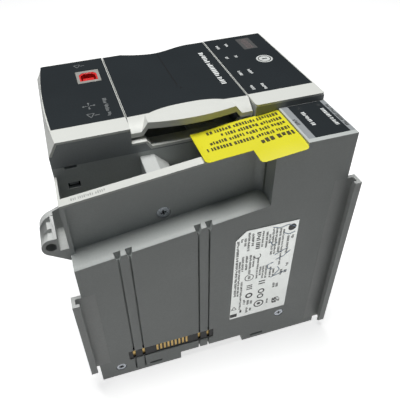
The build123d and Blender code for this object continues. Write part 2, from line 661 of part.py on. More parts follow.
with BuildPart() as door:
    with BuildSketch(Plane.XY.offset(FRONT - DOOR_PLATE)):
        with BuildLine():
            Polyline((FLANK_X[0], CHEEK_Y[0]), (FLANK_X[0], CHEEK_Y[1]), (DOOR_X[0], CHEEK_Y[1]))
            Polyline((DOOR_X[0], CHEEK_Y[1]), (DOOR_X[0], DOOR_FAR_Y), DOOR_FAR_CURVE[-1])
            Spline(*DOOR_FAR_CURVE)
            Polyline(DOOR_FAR_CURVE[0], (DOOR_X[1], DOOR_FAR_Y), (DOOR_X[1], CHEEK_Y[1]))
            Polyline((DOOR_X[1], CHEEK_Y[1]), (FLANK_X[1], CHEEK_Y[1]), (FLANK_X[1], CHEEK_Y[0]))
            ThreePointArc((FLANK_X[1], CHEEK_Y[0]), BAND_MIDDLE, (FLANK_X[0], CHEEK_Y[0]))
        make_face()
    extrude(amount=DOOR_PLATE)
    with BuildSketch(Plane.XY.offset(FRONT - DOOR_PLATE - DOOR_LIP)):
        with BuildLine():
            ThreePointArc((FLANK_X[1], CHEEK_Y[0]), BAND_MIDDLE, (FLANK_X[0], CHEEK_Y[0]))
            Line((FLANK_X[0], CHEEK_Y[0]), (FLANK_X[0], CHEEK_Y[0] + 1.4))
            ThreePointArc(
                (FLANK_X[0], CHEEK_Y[0] + 1.4),
                (BAND_MIDDLE[0], BAND_MIDDLE[1] + 1.4),
                (FLANK_X[1], CHEEK_Y[0] + 1.4),
            )
            Line((FLANK_X[1], CHEEK_Y[0] + 1.4), (FLANK_X[1], CHEEK_Y[0]))
        make_face()
    extrude(amount=DOOR_LIP)
    # cheeks that slope down on both sides of the bowed band
    for low_x, high_x in ((DOOR_X[0], FLANK_X[0]), (FLANK_X[1], DOOR_X[1])):
        with BuildSketch(Plane.YZ.offset(low_x)):
            Polygon(
                (CHEEK_Y[1], FRONT),
                (CHEEK_Y[0], CHEEK_Z),
                (CHEEK_Y[0], CHEEK_FOOT_Z),
                (CHEEK_Y[1], FRONT - DOOR_PLATE),
                align=None,
            )
        extrude(amount=high_x - low_x)
    # leaning flanks of the band, and the mouth between them
    outer_top = flank_x(FRONT, 0)
    outer_foot = flank_x(CHEEK_FOOT_Z, 0)
    inner_top = flank_x(FRONT, DOOR_SKIN)
    inner_foot = flank_x(CHEEK_FOOT_Z, DOOR_SKIN)
    for side in (0, 1):
        side_prism(
            [
                (outer_top[side], FRONT),
                (outer_foot[side], CHEEK_FOOT_Z),
                (inner_foot[side], CHEEK_FOOT_Z),
                (inner_top[side], FRONT),
            ],
            CHEEK_Y,
        )
    lip_z = FRONT - DOOR_PLATE - DOOR_LIP
    inner_lip = flank_x(lip_z, DOOR_SKIN)
    side_prism(
        [
            (inner_foot[0], CHEEK_FOOT_Z),
            (inner_lip[0], lip_z),
            (inner_lip[1], lip_z),
            (inner_foot[1], CHEEK_FOOT_Z),
        ],
        (BAND_MIDDLE[1], CHEEK_Y[1]),
        Mode.SUBTRACT,
    )
    # hinge barrels and two stiffening ribs
    for barrel_x in BARREL_X:
        with BuildSketch(Plane.YZ.offset(barrel_x)):
            with Locations((HINGE_Y, HINGE_Z)):
                Circle(BARREL_R)
        extrude(amount=BARREL_LENGTH)
    rib_z = (FRONT - DOOR_PLATE - 1.4, FRONT - DOOR_PLATE)
    for rib_x in (-22.6, 24.0):
        block((rib_x, rib_x + 1.2), (CHEEK_Y[1], HINGE_Y - 3.0), rib_z)
    with BuildSketch(Plane.YZ.offset(DOOR_X[0])):
        with Locations((HINGE_Y, HINGE_Z)):
            Circle(PIN_R + 0.05)
    extrude(amount=DOOR_X[1] - DOOR_X[0], mode=Mode.SUBTRACT)
    # seat of the overlay
    with BuildSketch(Plane.XY.offset(LABEL_Z)) as label_seat:
        with BuildLine():
            label_far_curve = [(x, y - DOOR_BORDER) for x, y in reversed(DOOR_FAR_CURVE)]
            Polyline(
                LABEL_NEAR_CURVE[0],
                (DOOR_X[0] + DOOR_BORDER, LABEL_FRONT_Y),
                (DOOR_X[0] + DOOR_BORDER, DOOR_FAR_Y - DOOR_BORDER),
                label_far_curve[0],
            )
            Spline(*label_far_curve)
            Polyline(
                label_far_curve[-1],
                (DOOR_X[1] - DOOR_BORDER, DOOR_FAR_Y - DOOR_BORDER),
                (DOOR_X[1] - DOOR_BORDER, LABEL_FRONT_Y),
                LABEL_NEAR_CURVE[-1],
            )
            Spline(*reversed(LABEL_NEAR_CURVE))
        make_face()
    extrude(amount=LABEL, mode=Mode.SUBTRACT)
finish(door, "door")

with BuildPart() as door_label:
    with BuildSketch(Plane.XY.offset(LABEL_Z)):
        add(label_seat.sketch.face().moved(Location((0, 0, -LABEL_Z))))
    extrude(amount=LABEL)
finish(door_label, "door_label")

with BuildPart() as door_hinge_pins:
    pin_length = WALL + SEAM_GAP + 5.0
    for pin_x in (DOOR_WALL_X[0], DOOR_WALL_X[1] - pin_length):
        with BuildSketch(Plane.YZ.offset(pin_x)):
            with Locations((HINGE_Y, HINGE_Z)):
                Circle(PIN_R)
        extrude(amount=pin_length)
finish(door_hinge_pins, "door_hinge_pins")

# ---- finger scoop, control panel and what sits in it -------------------------------------
PANEL_Z = (112.0, 114.0)
SCOOP_END_Y = -9.4
LEDGE_END_Y = -16.5
RIM_WIDTH = 0.6
scoop_outline = [
    (LOWER_EDGE_X, LEDGE_Z),
    (SCOOP_X[0] - SCOOP_RUN, LEDGE_Z),
    (SCOOP_X[0], SCOOP_Z),
    (SCOOP_X[1], SCOOP_Z),
    (SCOOP_X[1] + SCOOP_RUN, LEDGE_Z),
    (UPPER_EDGE_X, LEDGE_Z),
]
with BuildPart() as finger_scoop:
    side_prism([*scoop_outline, *reversed(scoop_foot)], (SPINE_Y, LEDGE_END_Y))
    block(SCOOP_X, (SPINE_Y + RIM_WIDTH, LEDGE_END_Y), (SCOOP_FOOT_Z, SCOOP_Z), Mode.SUBTRACT)
    # floor that falls away behind the narrow rim and ends in a wall on the control panel
    with BuildSketch(Plane.YZ.offset(SCOOP_X[0])):
        Polygon(
            (SPINE_Y + RIM_WIDTH, SCOOP_Z),
            (SPINE_Y + RIM_WIDTH, SCOOP_FOOT_Z),
            (SPINE_Y + WALL, SCOOP_FOOT_Z),
            (SCOOP_END_Y - 1.0, 116.2),
            (SCOOP_END_Y - 1.0, PANEL_Z[1]),
            (SCOOP_END_Y, PANEL_Z[1]),
            (SCOOP_END_Y, 117.0),
            align=None,
        )
    extrude(amount=SCOOP_X[1] - SCOOP_X[0])
finish(finger_scoop, "finger_scoop")

LEVER_AT = (-16.0, 30.0)
LEVER_TRAVEL = 3.0
RESET_AT = (-16.0, 6.0)
RESET_TRAVEL = 0.8
CARD_X = (0.0, 24.0)
CARD_Y = (17.1, 19.2)
CARD_Z = (84.5, 116.5)
MODULE_X = (2.0, 24.0)
MODULE_Y = (-7.5, 4.5)

with BuildPart() as control_panel:
    block(DOOR_WALL_X, (SPINE_Y + WALL, SIDE - WALL), (PANEL_Z[0], SEAM_Z))
    block((LOWER_EDGE_X, UPPER_EDGE_X), (-17.3, 45.05), (PANEL_Z[1], SEAM_Z), Mode.SUBTRACT)
    # room under the scoop's floor
    block((LOWER_EDGE_X, UPPER_EDGE_X), (-19.3, -17.3), (PANEL_Z[1] + 2.0, SEAM_Z), Mode.SUBTRACT)
    # slot for the lever, hole for the button, openings for the card and the module
    with Locations((LEVER_AT[0], LEVER_AT[1], PANEL_Z[0] + 1.0)):
        Box(2.6, 3.0 + 2 * LEVER_TRAVEL + 2.4, 2.0, mode=Mode.SUBTRACT)
    with BuildSketch(Plane.XY.offset(PANEL_Z[0])):
        with Locations(RESET_AT):
            Circle(2.3)
    extrude(amount=WALL, mode=Mode.SUBTRACT)
    block((CARD_X[0] - 0.5, CARD_X[1] + 0.5), (CARD_Y[0] - 0.4, CARD_Y[1] + 0.4), PANEL_Z, Mode.SUBTRACT)
    block(MODULE_X, MODULE_Y, PANEL_Z, Mode.SUBTRACT)
finish(control_panel, "control_panel")

with BuildPart() as mode_switch_body:
    with Locations((LEVER_AT[0], LEVER_AT[1], 107.0)):
        Box(8.0, 16.0, 10.0)
        with Locations((0, 0, 2.0)):
            Box(2.6, 3.0 + 2 * LEVER_TRAVEL + 1.2, 6.0, mode=Mode.SUBTRACT)
    with BuildSketch(Plane.XY.offset(102.0)):
        with Locations(LEVER_AT):
            with GridLocations(5.0, 5.0, 2, 3):
                Circle(0.45)
    extrude(amount=FRONT_BOARD_Z[1] - 102.0)
finish(mode_switch_body, "mode_switch_body")

with BuildPart() as mode_switch_lever:
    with Locations((LEVER_AT[0], LEVER_AT[1], 111.8)):
        Box(2.0, 3.0, 8.6)
    with Locations((LEVER_AT[0], LEVER_AT[1], 116.3)):
        Box(4.0, 5.0, 3.4)
    cap_edges = mode_switch_lever.edges().group_by(Axis.Z)[-1]
    fillet(cap_edges, radius=0.6)
finish(mode_switch_lever, "mode_switch_lever")

with BuildPart() as reset_switch:
    with Locations((RESET_AT[0], RESET_AT[1], (FRONT_BOARD_Z[1] + 96.2) / 2)):
        Box(6.0, 6.0, 96.2 - FRONT_BOARD_Z[1])
    chamfer(reset_switch.edges().group_by(Axis.Z)[-1], length=0.4)
finish(reset_switch, "reset_switch")

with BuildPart() as reset_button:
    with BuildSketch(Plane.XY.offset(96.2 + RESET_TRAVEL + GAP)):
        with Locations(RESET_AT):
            Circle(2.0)
    extrude(amount=116.0 - 96.2 - RESET_TRAVEL - GAP)
    fillet(reset_button.edges().group_by(Axis.Z)[-1], radius=0.5)
    # collar that keeps the button under the panel
    with BuildSketch(Plane.XY.offset(109.0)):
        with Locations(RESET_AT):
            Circle(3.2)
    extrude(amount=PANEL_Z[0] - GAP - 109.0)
finish(reset_button, "reset_button")

with BuildPart() as sd_socket:
    block((CARD_X[0] - 2.0, CARD_X[1] + 2.0), (CARD_Y[0] - 1.6, CARD_Y[1] + 1.6), (83.0, PANEL_Z[0]))
    block(
        (CARD_X[0] - GAP, CARD_X[1] + GAP),
        (CARD_Y[0] - GAP, CARD_Y[1] + GAP),
        (84.0, PANEL_Z[0]),
        Mode.SUBTRACT,
    )
finish(sd_socket, "sd_socket")

with BuildPart() as sd_card:
    block(CARD_X, CARD_Y, CARD_Z)
    key_corner = sd_card.edges().filter_by(Axis.Y).group_by(Axis.Z)[0].sort_by(Axis.X)[-1]
    chamfer(key_corner, length=3.5)
    # finger groove across the exposed end
    block((CARD_X[0] + 3.0, CARD_X[1] - 3.0), (CARD_Y[0], CARD_Y[0] + 0.4), (114.9, 115.8), Mode.SUBTRACT)
finish(sd_card, "sd_card")

with BuildPart() as energy_module:
    block(MODULE_X, MODULE_Y, (FRONT_BOARD_Z[1], PANEL_Z[1] + 1.4))
    fillet(energy_module.edges().group_by(Axis.Z)[-1], radius=0.6)
    for step in range(4):
        rib_y = MODULE_Y[0] + 3.0 + 1.6 * step
        block((MODULE_X[0] + 4.0, MODULE_X[1] - 4.0), (rib_y, rib_y + 0.7), (114.8, 115.4), Mode.SUBTRACT)
finish(energy_module, "energy_module")

# ---- power section's front ---------------------------------------------------------------
STRIP_X = ((39.4, 42.3), (57.7, 59.9))
OVERLAY_Y = (INNER_SIDE, SPINE_Y - 0.5)
POWER_LIGHTS = ((46.5, -24.7), (55.6, -24.7))

with BuildPart() as power_front:
    side_prism(
        [
            (BAY_END_X, rim_z(BAY_END_X)),
            (POWER_X, rim_z(POWER_X)),
            (POWER_X, POWER_Z),
            (END, POWER_Z),
            (END, POWER_Z - POWER_PLATE),
            (POWER_X + POWER_PLATE, POWER_Z - POWER_PLATE),
            (POWER_X, rim_z(POWER_X) - CAP),
            (BAY_END_X, rim_z(BAY_END_X) - CAP),
        ],
        (INNER_SIDE, SPINE_Y - GAP),
    )
    block((STRIP_X[0][0], STRIP_X[1][1]), OVERLAY_Y, (POWER_Z - LABEL, POWER_Z), Mode.SUBTRACT)
    with BuildSketch(Plane.XY.offset(POWER_Z)):
        with Locations(*POWER_LIGHTS):
            Circle(0.9)
    extrude(amount=-POWER_PLATE, mode=Mode.SUBTRACT)
finish(power_front, "power_front")

with BuildPart() as power_label:
    block((STRIP_X[0][1], STRIP_X[1][0]), OVERLAY_Y, (POWER_Z - LABEL, POWER_Z))
    with BuildSketch(Plane.XY.offset(POWER_Z)):
        with Locations(*POWER_LIGHTS):
            Circle(0.9)
    extrude(amount=-LABEL, mode=Mode.SUBTRACT)
finish(power_label, "power_label")

with BuildPart() as legend_strips:
    for strip_x in STRIP_X:
        block(strip_x, OVERLAY_Y, (POWER_Z - LABEL, POWER_Z))
finish(legend_strips, "legend_strips")

with BuildPart() as power_light_pipes:
    with BuildSketch(Plane.XY.offset(POWER_Z)):
        with Locations(*POWER_LIGHTS):
            Circle(0.9)
    extrude(amount=-8.0)
finish(power_light_pipes, "power_light_pipes")

# ---- ports -------------------------------------------------------------------------------
PORT_HALF = 4.25
PORT_CORNER = 1.8
USB_Z = (112.0, FRONT - 0.15)


def port_outline(shrink):
    """Square port outline with two clipped corners, made smaller by shrink on each side."""
    half = PORT_HALF - shrink
    with Locations(USB_AT):
        Polygon(
            (-half, -half),
            (half, -half),
            (half, half - PORT_CORNER),
            (half - PORT_CORNER, half),
            (PORT_CORNER - half, half),
            (-half, half - PORT_CORNER),
            align=None,
        )


with BuildPart() as usb_shell:
    with BuildSketch(Plane.XY.offset(USB_Z[0])):
        with Locations(USB_AT):
            RectangleRounded(*USB_SIZE, radius=0.5)
    extrude(amount=USB_Z[1] - USB_Z[0])
    with BuildSketch(Plane.XY.offset(USB_Z[0] + 3.0)):
        port_outline(0)
    extrude(amount=USB_Z[1] - USB_Z[0] - 3.0, mode=Mode.SUBTRACT)
    # two legs down to the front board
    for leg_x in (-40.6, -31.6):
        block((leg_x, leg_x + 0.6), (27.0, 35.0), (FRONT_BOARD_Z[1], USB_Z[0]))
finish(usb_shell, "usb_shell")

with BuildPart() as usb_insert:
    with BuildSketch(Plane.XY.offset(USB_Z[0] + 3.0)):
        port_outline(0)
    extrude(amount=USB_Z[1] - USB_Z[0] - 3.2)
    with BuildSketch(Plane.XY.offset(USB_Z[0] + 5.0)):
        port_outline(0.8)
    extrude(amount=USB_Z[1] - USB_Z[0] - 5.0, mode=Mode.SUBTRACT)
    with Locations((USB_AT[0], USB_AT[1] - 0.4, USB_Z[0] + 10.2)):
        Box(5.6, 3.0, 10.6)
finish(usb_insert, "usb_insert")

JACK_Y = (4.2, 22.2)
JACK_WIDTH = 15.6
JACK_X = (-59.9, -42.0)
JACK_Z = (FRONT_BOARD_Z[1], 105.4)
CONTACT_PITCH = 1.02

with BuildPart() as ethernet_jacks:
    for jack_y in JACK_Y:
        middle_y = jack_y + JACK_WIDTH / 2
        block(JACK_X, (jack_y, jack_y + JACK_WIDTH), JACK_Z)
        block((JACK_X[0], JACK_X[0] + 14.0), (middle_y - 5.9, middle_y + 5.9), (95.6, 103.8), Mode.SUBTRACT)
        block((JACK_X[0], JACK_X[0] + 14.0), (middle_y - 3.1, middle_y + 3.1), (94.2, 95.6), Mode.SUBTRACT)
finish(ethernet_jacks, "ethernet_jacks")

with BuildPart() as ethernet_contacts:
    for jack_y in JACK_Y:
        for step in range(8):
            wire_y = jack_y + JACK_WIDTH / 2 + CONTACT_PITCH * (step - 3.5)
            with BuildSketch(Plane.XZ.offset(-wire_y - 0.2)):
                Polygon(
                    (-46.5, 103.8),
                    (-57.5, 103.8),
                    (-57.5, 103.4),
                    (-49.0, 100.6),
                    (-49.0, 101.2),
                    align=None,
                )
            extrude(amount=0.4)
finish(ethernet_contacts, "ethernet_contacts")

# ---- plug headers at the bottom of the two bays ------------------------------------------
HEADER_Y = (-35.6, -21.9)
HEADER_TOP_Z = 98.0
PIN_PITCH = 5.08
PIN_Y = (-29.3, -28.3)
for name, header_x, pin_x, pin_count in (
    ("sa_power_header", (-57.5, -25.5), -51.0, 5),
    ("mod_power_header", (-10.5, 24.0), -5.5, 6),
):
    with BuildPart() as header:
        block(header_x, HEADER_Y, (BAY_FLOOR_Z, HEADER_TOP_Z))
        inside_x = (header_x[0] + 1.2, header_x[1] - 1.2)
        inside_y = (HEADER_Y[0] + 1.2, HEADER_Y[1] - 1.2)
        block(inside_x, inside_y, (BAY_FLOOR_Z + 2.0, HEADER_TOP_Z), Mode.SUBTRACT)
        # coding keys along one wall and the pin bores
        for step in range(pin_count):
            middle_x = pin_x + PIN_PITCH * step
            block((middle_x - 0.5, middle_x + 0.5), PIN_Y, (BAY_FLOOR_Z, BAY_FLOOR_Z + 2.0), Mode.SUBTRACT)
            key_x = (middle_x - 0.6, middle_x + 0.6)
            block(key_x, (inside_y[0], inside_y[0] + 0.8), (BAY_FLOOR_Z + 2.0, HEADER_TOP_Z - 1.0))
    finish(header, name)

with BuildPart() as header_pins:
    for pin_x, pin_count in ((-51.0, 5), (-5.5, 6)):
        for step in range(pin_count):
            middle_x = pin_x + PIN_PITCH * step
            block((middle_x - 0.5, middle_x + 0.5), PIN_Y, (78.0, HEADER_TOP_Z - 2.0))
finish(header_pins, "header_pins")

# ---- bus connector -----------------------------------------------------------------------
CONNECTOR_Y = (-SIDE + 0.4, BOARD_Y)
CONTACT_Y = (-SIDE + 0.7, BOARD_Y)
signal_x = [SIGNAL_MIDDLE_X + SIGNAL_PITCH * (step - SIGNAL_COUNT // 2) for step in range(SIGNAL_COUNT)]

with BuildPart() as bus_connector:
    block(BUS_X, CONNECTOR_Y, BUS_Z)
    for x in signal_x:
        block((x - 0.55, x + 0.55), CONNECTOR_Y, (12.6, 18.1), Mode.SUBTRACT)
    for x in GROOVE_X:
        block((x - 0.7, x + 0.7), CONNECTOR_Y, (12.6, 18.1), Mode.SUBTRACT)
finish(bus_connector, "bus_connector")

with BuildPart() as bus_signal_contacts:
    for x in signal_x:
        block((x - 0.55, x + 0.55), CONTACT_Y, (12.6, 18.1))
finish(bus_signal_contacts, "bus_signal_contacts")

with BuildPart() as bus_power_contacts:
    for x in GROOVE_X:
        block((x - 0.7, x + 0.7), (CONTACT_Y[0] + 0.6, CONTACT_Y[1]), (12.6, 18.1))
finish(bus_power_contacts, "bus_power_contacts")

# ---- boards and the parts on them --------------------------------------------------------
with BuildPart() as power_board:
    block((-57.0, 57.0), POWER_BOARD_Y, (11.5, 82.0))
    block((32.5, 43.1), POWER_BOARD_Y, (11.5, 21.5), Mode.SUBTRACT)
    with BuildSketch(Plane.XZ.offset(-POWER_BOARD_Y[1])):
        with Locations(*POWER_POSTS):
            Circle(1.25)
    extrude(amount=BOARD, mode=Mode.SUBTRACT)
finish(power_board, "power_board")

with BuildPart() as main_board:
    block((-56.0, 56.0), MAIN_BOARD_Y, (10.0, 88.0))
    with BuildSketch(Plane.XZ.offset(-MAIN_BOARD_Y[1])):
        with Locations(*MAIN_POSTS):
            Circle(1.25)
    extrude(amount=BOARD, mode=Mode.SUBTRACT)
finish(main_board, "main_board")

with BuildPart() as front_board:
    block((-57.0, 57.0), (-18.8, 46.5), FRONT_BOARD_Z)
    block((CARD_X[0] - 3.0, CARD_X[1] + 3.0), (14.5, 21.8), FRONT_BOARD_Z, Mode.SUBTRACT)
finish(front_board, "front_board")

with BuildPart() as board_screws:
    for places, head_y, tip_y in (
        (POWER_POSTS, POWER_BOARD_Y[1], POWER_BOARD_Y[0] - 5.0),
        (MAIN_POSTS, MAIN_BOARD_Y[0], MAIN_BOARD_Y[1] + 5.0),
    ):
        outward = 1 if tip_y < head_y else -1
        with BuildSketch(Plane.XZ.offset(-head_y)):
            with Locations(*places):
                Circle(2.3)
        extrude(amount=-outward * 1.4)
        with BuildSketch(Plane.XZ.offset(-head_y)):
            with Locations(*places):
                Circle(1.25)
        extrude(amount=outward * abs(tip_y - head_y))
finish(board_screws, "board_screws")

with BuildPart() as heat_sink:
    block((-46.0, -6.0), (POWER_BOARD_Y[1], POWER_BOARD_Y[1] + 3.0), (28.0, 76.0))
    for step in range(9):
        fin_x = -46.0 + 4.8 * step
        block((fin_x, fin_x + 1.4), (POWER_BOARD_Y[1] + 3.0, POWER_BOARD_Y[1] + 22.0), (28.0, 76.0))
finish(heat_sink, "heat_sink")

with BuildPart() as power_transformer:
    block((2.0, 26.0), (POWER_BOARD_Y[1], POWER_BOARD_Y[1] + 20.0), (50.0, 72.0))
    block((6.0, 22.0), (POWER_BOARD_Y[1] + 3.0, POWER_BOARD_Y[1] + 23.0), (46.0, 76.0))
finish(power_transformer, "power_transformer")

with BuildPart() as power_capacitors:
    with BuildSketch(Plane.XZ.offset(-POWER_BOARD_Y[1])):
        with Locations((12.0, 36.0), (32.0, 36.0), (39.0, 58.0)):
            Circle(8.0)
    extrude(amount=-25.0)
    fillet(power_capacitors.edges().group_by(Axis.Y)[-1], radius=1.2)
finish(power_capacitors, "power_capacitors")

with BuildPart() as processor_module:
    block((-20.0, 16.0), (MAIN_BOARD_Y[0] - 2.6, MAIN_BOARD_Y[0]), (30.0, 66.0))
    for step in range(7):
        fin_x = -18.0 + 5.0 * step
        block((fin_x, fin_x + 1.6), (MAIN_BOARD_Y[0] - 9.0, MAIN_BOARD_Y[0] - 2.6), (32.0, 64.0))
finish(processor_module, "processor_module")

with BuildPart() as board_link:
    block((-30.0, 0.0), (POWER_BOARD_Y[1], MAIN_BOARD_Y[0]), (20.6, 21.4))
    for socket_y in ((POWER_BOARD_Y[1], POWER_BOARD_Y[1] + 6.0), (MAIN_BOARD_Y[0] - 6.0, MAIN_BOARD_Y[0])):
        block((-32.0, 2.0), socket_y, (18.5, 23.5))
finish(board_link, "board_link")

# ---- fasteners, DIN latches and stickers -------------------------------------------------
with BuildPart() as case_screws:
    for face_y, places, bore_r in SCREW_SEATS:
        seat_y = face_y + SCREW_SEAT
        with BuildSketch(Plane.XZ.offset(-seat_y)):
            with Locations(*places):
                Circle(bore_r - 0.3)
        extrude(amount=1.0)
        with BuildSketch(Plane.XZ.offset(-seat_y)):
            with Locations(*places):
                Circle(1.25)
        extrude(amount=-9.0)
        # cross recess
        for arm in ((2.6, 0.6), (0.6, 2.6)):
            with BuildSketch(Plane.XZ.offset(1.0 - seat_y)):
                with Locations(*places):
                    Rectangle(*arm)
            extrude(amount=-0.7, mode=Mode.SUBTRACT)
finish(case_screws, "case_screws")

LATCH_NOSE = 1.5
LATCH_TAB = 4.5
for name, direction in (("upper_din_latch", 1), ("lower_din_latch", -1)):
    with BuildPart() as latch:
        inner_x = direction * (RAIL_HALF - LATCH_NOSE)
        outer_x = direction * (END + LATCH_TAB)
        block(sorted((inner_x, outer_x)), (-LATCH_HALF, LATCH_HALF), LATCH_Z)
        # lead-in bevel of the nose and the screwdriver slot in the tab
        nose = latch.edges().filter_by(Axis.Y).sort_by_distance(Vector(inner_x, 0, LATCH_Z[0]))[0]
        chamfer(nose, length=1.1)
        slot_x = direction * (END + LATCH_TAB / 2)
        block((slot_x - 0.8, slot_x + 0.8), (-3.0, 3.0), LATCH_Z, Mode.SUBTRACT)
    finish(latch, name)

STICKER = 0.25
with BuildPart() as nameplate:
    side_prism(
        [(9.3, 23.3), (40.0, 23.3), (40.0, 86.0), (14.8, 86.5), (10.0, 81.5)],
        (-SIDE - STICKER, -SIDE),
    )
finish(nameplate, "nameplate")

with BuildPart() as caution_sticker:
    side_prism(
        [
            (-1.2, rim_z(-1.2)),
            (POWER_X - 0.2, rim_z(POWER_X - 0.2)),
            (POWER_X - 0.2, rim_z(POWER_X - 0.2) + STICKER),
            (-1.2, rim_z(-1.2) + STICKER),
        ],
        (-50.4, SPINE_Y - GAP),
    )
    block((-2.0, 18.0), (-51.0, -42.0), (rim_z(-2.0) - 1.0, FRONT), Mode.SUBTRACT)
finish(caution_sticker, "caution_sticker")
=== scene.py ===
"""Looks of the rail-mounted PLC module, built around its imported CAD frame."""

import json
import random
from math import cos, pi, radians, sin

import bmesh
import bpy
from mathutils import Matrix, Vector

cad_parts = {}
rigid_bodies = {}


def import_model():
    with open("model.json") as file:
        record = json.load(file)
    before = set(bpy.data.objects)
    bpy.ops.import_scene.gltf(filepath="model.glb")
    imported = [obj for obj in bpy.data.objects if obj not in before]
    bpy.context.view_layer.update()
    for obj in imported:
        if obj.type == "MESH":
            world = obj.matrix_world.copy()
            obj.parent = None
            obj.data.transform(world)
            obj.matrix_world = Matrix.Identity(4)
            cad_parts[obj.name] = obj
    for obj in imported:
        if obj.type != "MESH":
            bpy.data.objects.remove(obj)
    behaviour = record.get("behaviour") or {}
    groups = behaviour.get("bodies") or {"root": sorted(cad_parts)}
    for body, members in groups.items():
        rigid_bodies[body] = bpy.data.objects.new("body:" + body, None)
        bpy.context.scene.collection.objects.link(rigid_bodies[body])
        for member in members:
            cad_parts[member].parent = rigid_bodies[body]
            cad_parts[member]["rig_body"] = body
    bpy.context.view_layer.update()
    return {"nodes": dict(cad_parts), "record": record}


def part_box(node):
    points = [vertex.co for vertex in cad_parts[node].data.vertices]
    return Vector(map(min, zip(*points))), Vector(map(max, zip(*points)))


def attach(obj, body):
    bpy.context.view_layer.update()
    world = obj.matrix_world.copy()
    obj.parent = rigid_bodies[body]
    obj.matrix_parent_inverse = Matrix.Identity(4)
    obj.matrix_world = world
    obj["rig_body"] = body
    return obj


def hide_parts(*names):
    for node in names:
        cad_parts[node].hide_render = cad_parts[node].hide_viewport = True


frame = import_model()
MM = 0.001
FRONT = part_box("bezel_upper")[1].z / MM  # front face of the bezel, mm
rng = random.Random(11)


def box_mm(node):
    """Low and high corner of a CAD node's box, in mm."""
    return tuple(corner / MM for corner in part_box(node))


# ---- materials ---------------------------------------------------------------------------
RELIEF_DEPTH = 0.0001  # m
WEAR_WIDTH = 0.0005  # m
WEAR_GRAIN = 220  # worn patches per metre
WORN_PALER = 1.7
ROUGH_SPREAD = 0.07


def node_tree(name):
    """New material with an empty tree; returns it with its tree and principled shader."""
    mat = bpy.data.materials.new(name)
    mat.use_nodes = True
    tree = mat.node_tree
    tree.nodes.clear()
    shader = tree.nodes.new("ShaderNodeBsdfPrincipled")
    out = tree.nodes.new("ShaderNodeOutputMaterial")
    tree.links.new(shader.outputs["BSDF"], out.inputs["Surface"])
    return mat, tree, shader


def noise(tree, scale, detail=3.0, stretch=(1, 1, 1)):
    """Noise in the object's own coordinates; scale is in features per metre."""
    coords = tree.nodes.new("ShaderNodeTexCoord")
    mapping = tree.nodes.new("ShaderNodeMapping")
    mapping.inputs["Scale"].default_value = stretch
    texture = tree.nodes.new("ShaderNodeTexNoise")
    texture.inputs["Scale"].default_value = scale
    texture.inputs["Detail"].default_value = detail
    tree.links.new(coords.outputs["Object"], mapping.inputs["Vector"])
    tree.links.new(mapping.outputs["Vector"], texture.inputs["Vector"])
    return texture.outputs["Fac"]


def ramp(tree, value, low, high, out_low, out_high):
    """Value remapped from low..high to out_low..out_high."""
    node = tree.nodes.new("ShaderNodeMapRange")
    limits = {"From Min": low, "From Max": high, "To Min": out_low, "To Max": out_high}
    for key, number in limits.items():
        node.inputs[key].default_value = number
    tree.links.new(value, node.inputs["Value"])
    return node.outputs["Result"]


def mixed(tree, factor, first, second):
    """Colour mix; first and second are colours or sockets."""
    node = tree.nodes.new("ShaderNodeMix")
    node.data_type = "RGBA"
    for key, value in (("A", first), ("B", second)):
        socket = next(s for s in node.inputs if s.name == key and s.type == "RGBA")
        if hasattr(value, "links"):
            tree.links.new(value, socket)
        else:
            socket.default_value = (*value, 1)
    tree.links.new(factor, node.inputs["Factor"])
    return next(s for s in node.outputs if s.type == "RGBA")


def edge_wear(tree, radius, low=0.02, high=0.35):
    """Mask that is 1 on worn edges and 0 on flat faces."""
    bevel = tree.nodes.new("ShaderNodeBevel")
    bevel.samples = 4
    bevel.inputs["Radius"].default_value = radius
    geometry = tree.nodes.new("ShaderNodeNewGeometry")
    dot = tree.nodes.new("ShaderNodeVectorMath")
    dot.operation = "DOT_PRODUCT"
    tree.links.new(bevel.outputs["Normal"], dot.inputs[0])
    tree.links.new(geometry.outputs["Normal"], dot.inputs[1])
    return ramp(tree, dot.outputs["Value"], 1 - low, 1 - high, 0.0, 1.0)


def scaled(color, factor):
    return tuple(min(1.0, c * factor) for c in color)


def finish_of(name, color, rough, grain=1400, bump=0.12, spread=0.06, cloud=28, wear=0.0,
              metallic=0.0, stretch=(1, 1, 1), coat=0.0, specular=0.5):
    """Surface with cloudy colour, varied roughness, fine relief and, if asked, paler worn edges."""
    mat, tree, shader = node_tree(name)
    clouds = ramp(tree, noise(tree, cloud, 4.0), 0.3, 0.7, 0, 1)
    fine = noise(tree, grain, 2.0, stretch)
    tint = mixed(tree, clouds, scaled(color, 1 - spread), scaled(color, 1 + spread))
    tint = mixed(tree, ramp(tree, fine, 0.35, 0.65, 0.0, 0.5), tint, scaled(color, 1 - 1.5 * spread))
    if wear:
        patchy = ramp(tree, noise(tree, WEAR_GRAIN, 3.0), 0.42, 0.62, 0.25, 1.0)
        mask = tree.nodes.new("ShaderNodeMath")
        mask.operation = "MULTIPLY"
        tree.links.new(edge_wear(tree, WEAR_WIDTH), mask.inputs[0])
        tree.links.new(patchy, mask.inputs[1])
        tint = mixed(tree, ramp(tree, mask.outputs[0], 0, 1, 0, wear), tint, scaled(color, WORN_PALER))
    tree.links.new(tint, shader.inputs["Base Color"])
    roughness = ramp(tree, fine, 0.3, 0.7, rough - ROUGH_SPREAD, rough + ROUGH_SPREAD)
    tree.links.new(roughness, shader.inputs["Roughness"])
    relief = tree.nodes.new("ShaderNodeBump")
    relief.inputs["Strength"].default_value = bump
    relief.inputs["Distance"].default_value = RELIEF_DEPTH
    tree.links.new(fine, relief.inputs["Height"])
    tree.links.new(relief.outputs["Normal"], shader.inputs["Normal"])
    shader.inputs["Metallic"].default_value = metallic
    shader.inputs["Coat Weight"].default_value = coat
    shader.inputs["Specular IOR Level"].default_value = specular
    return mat


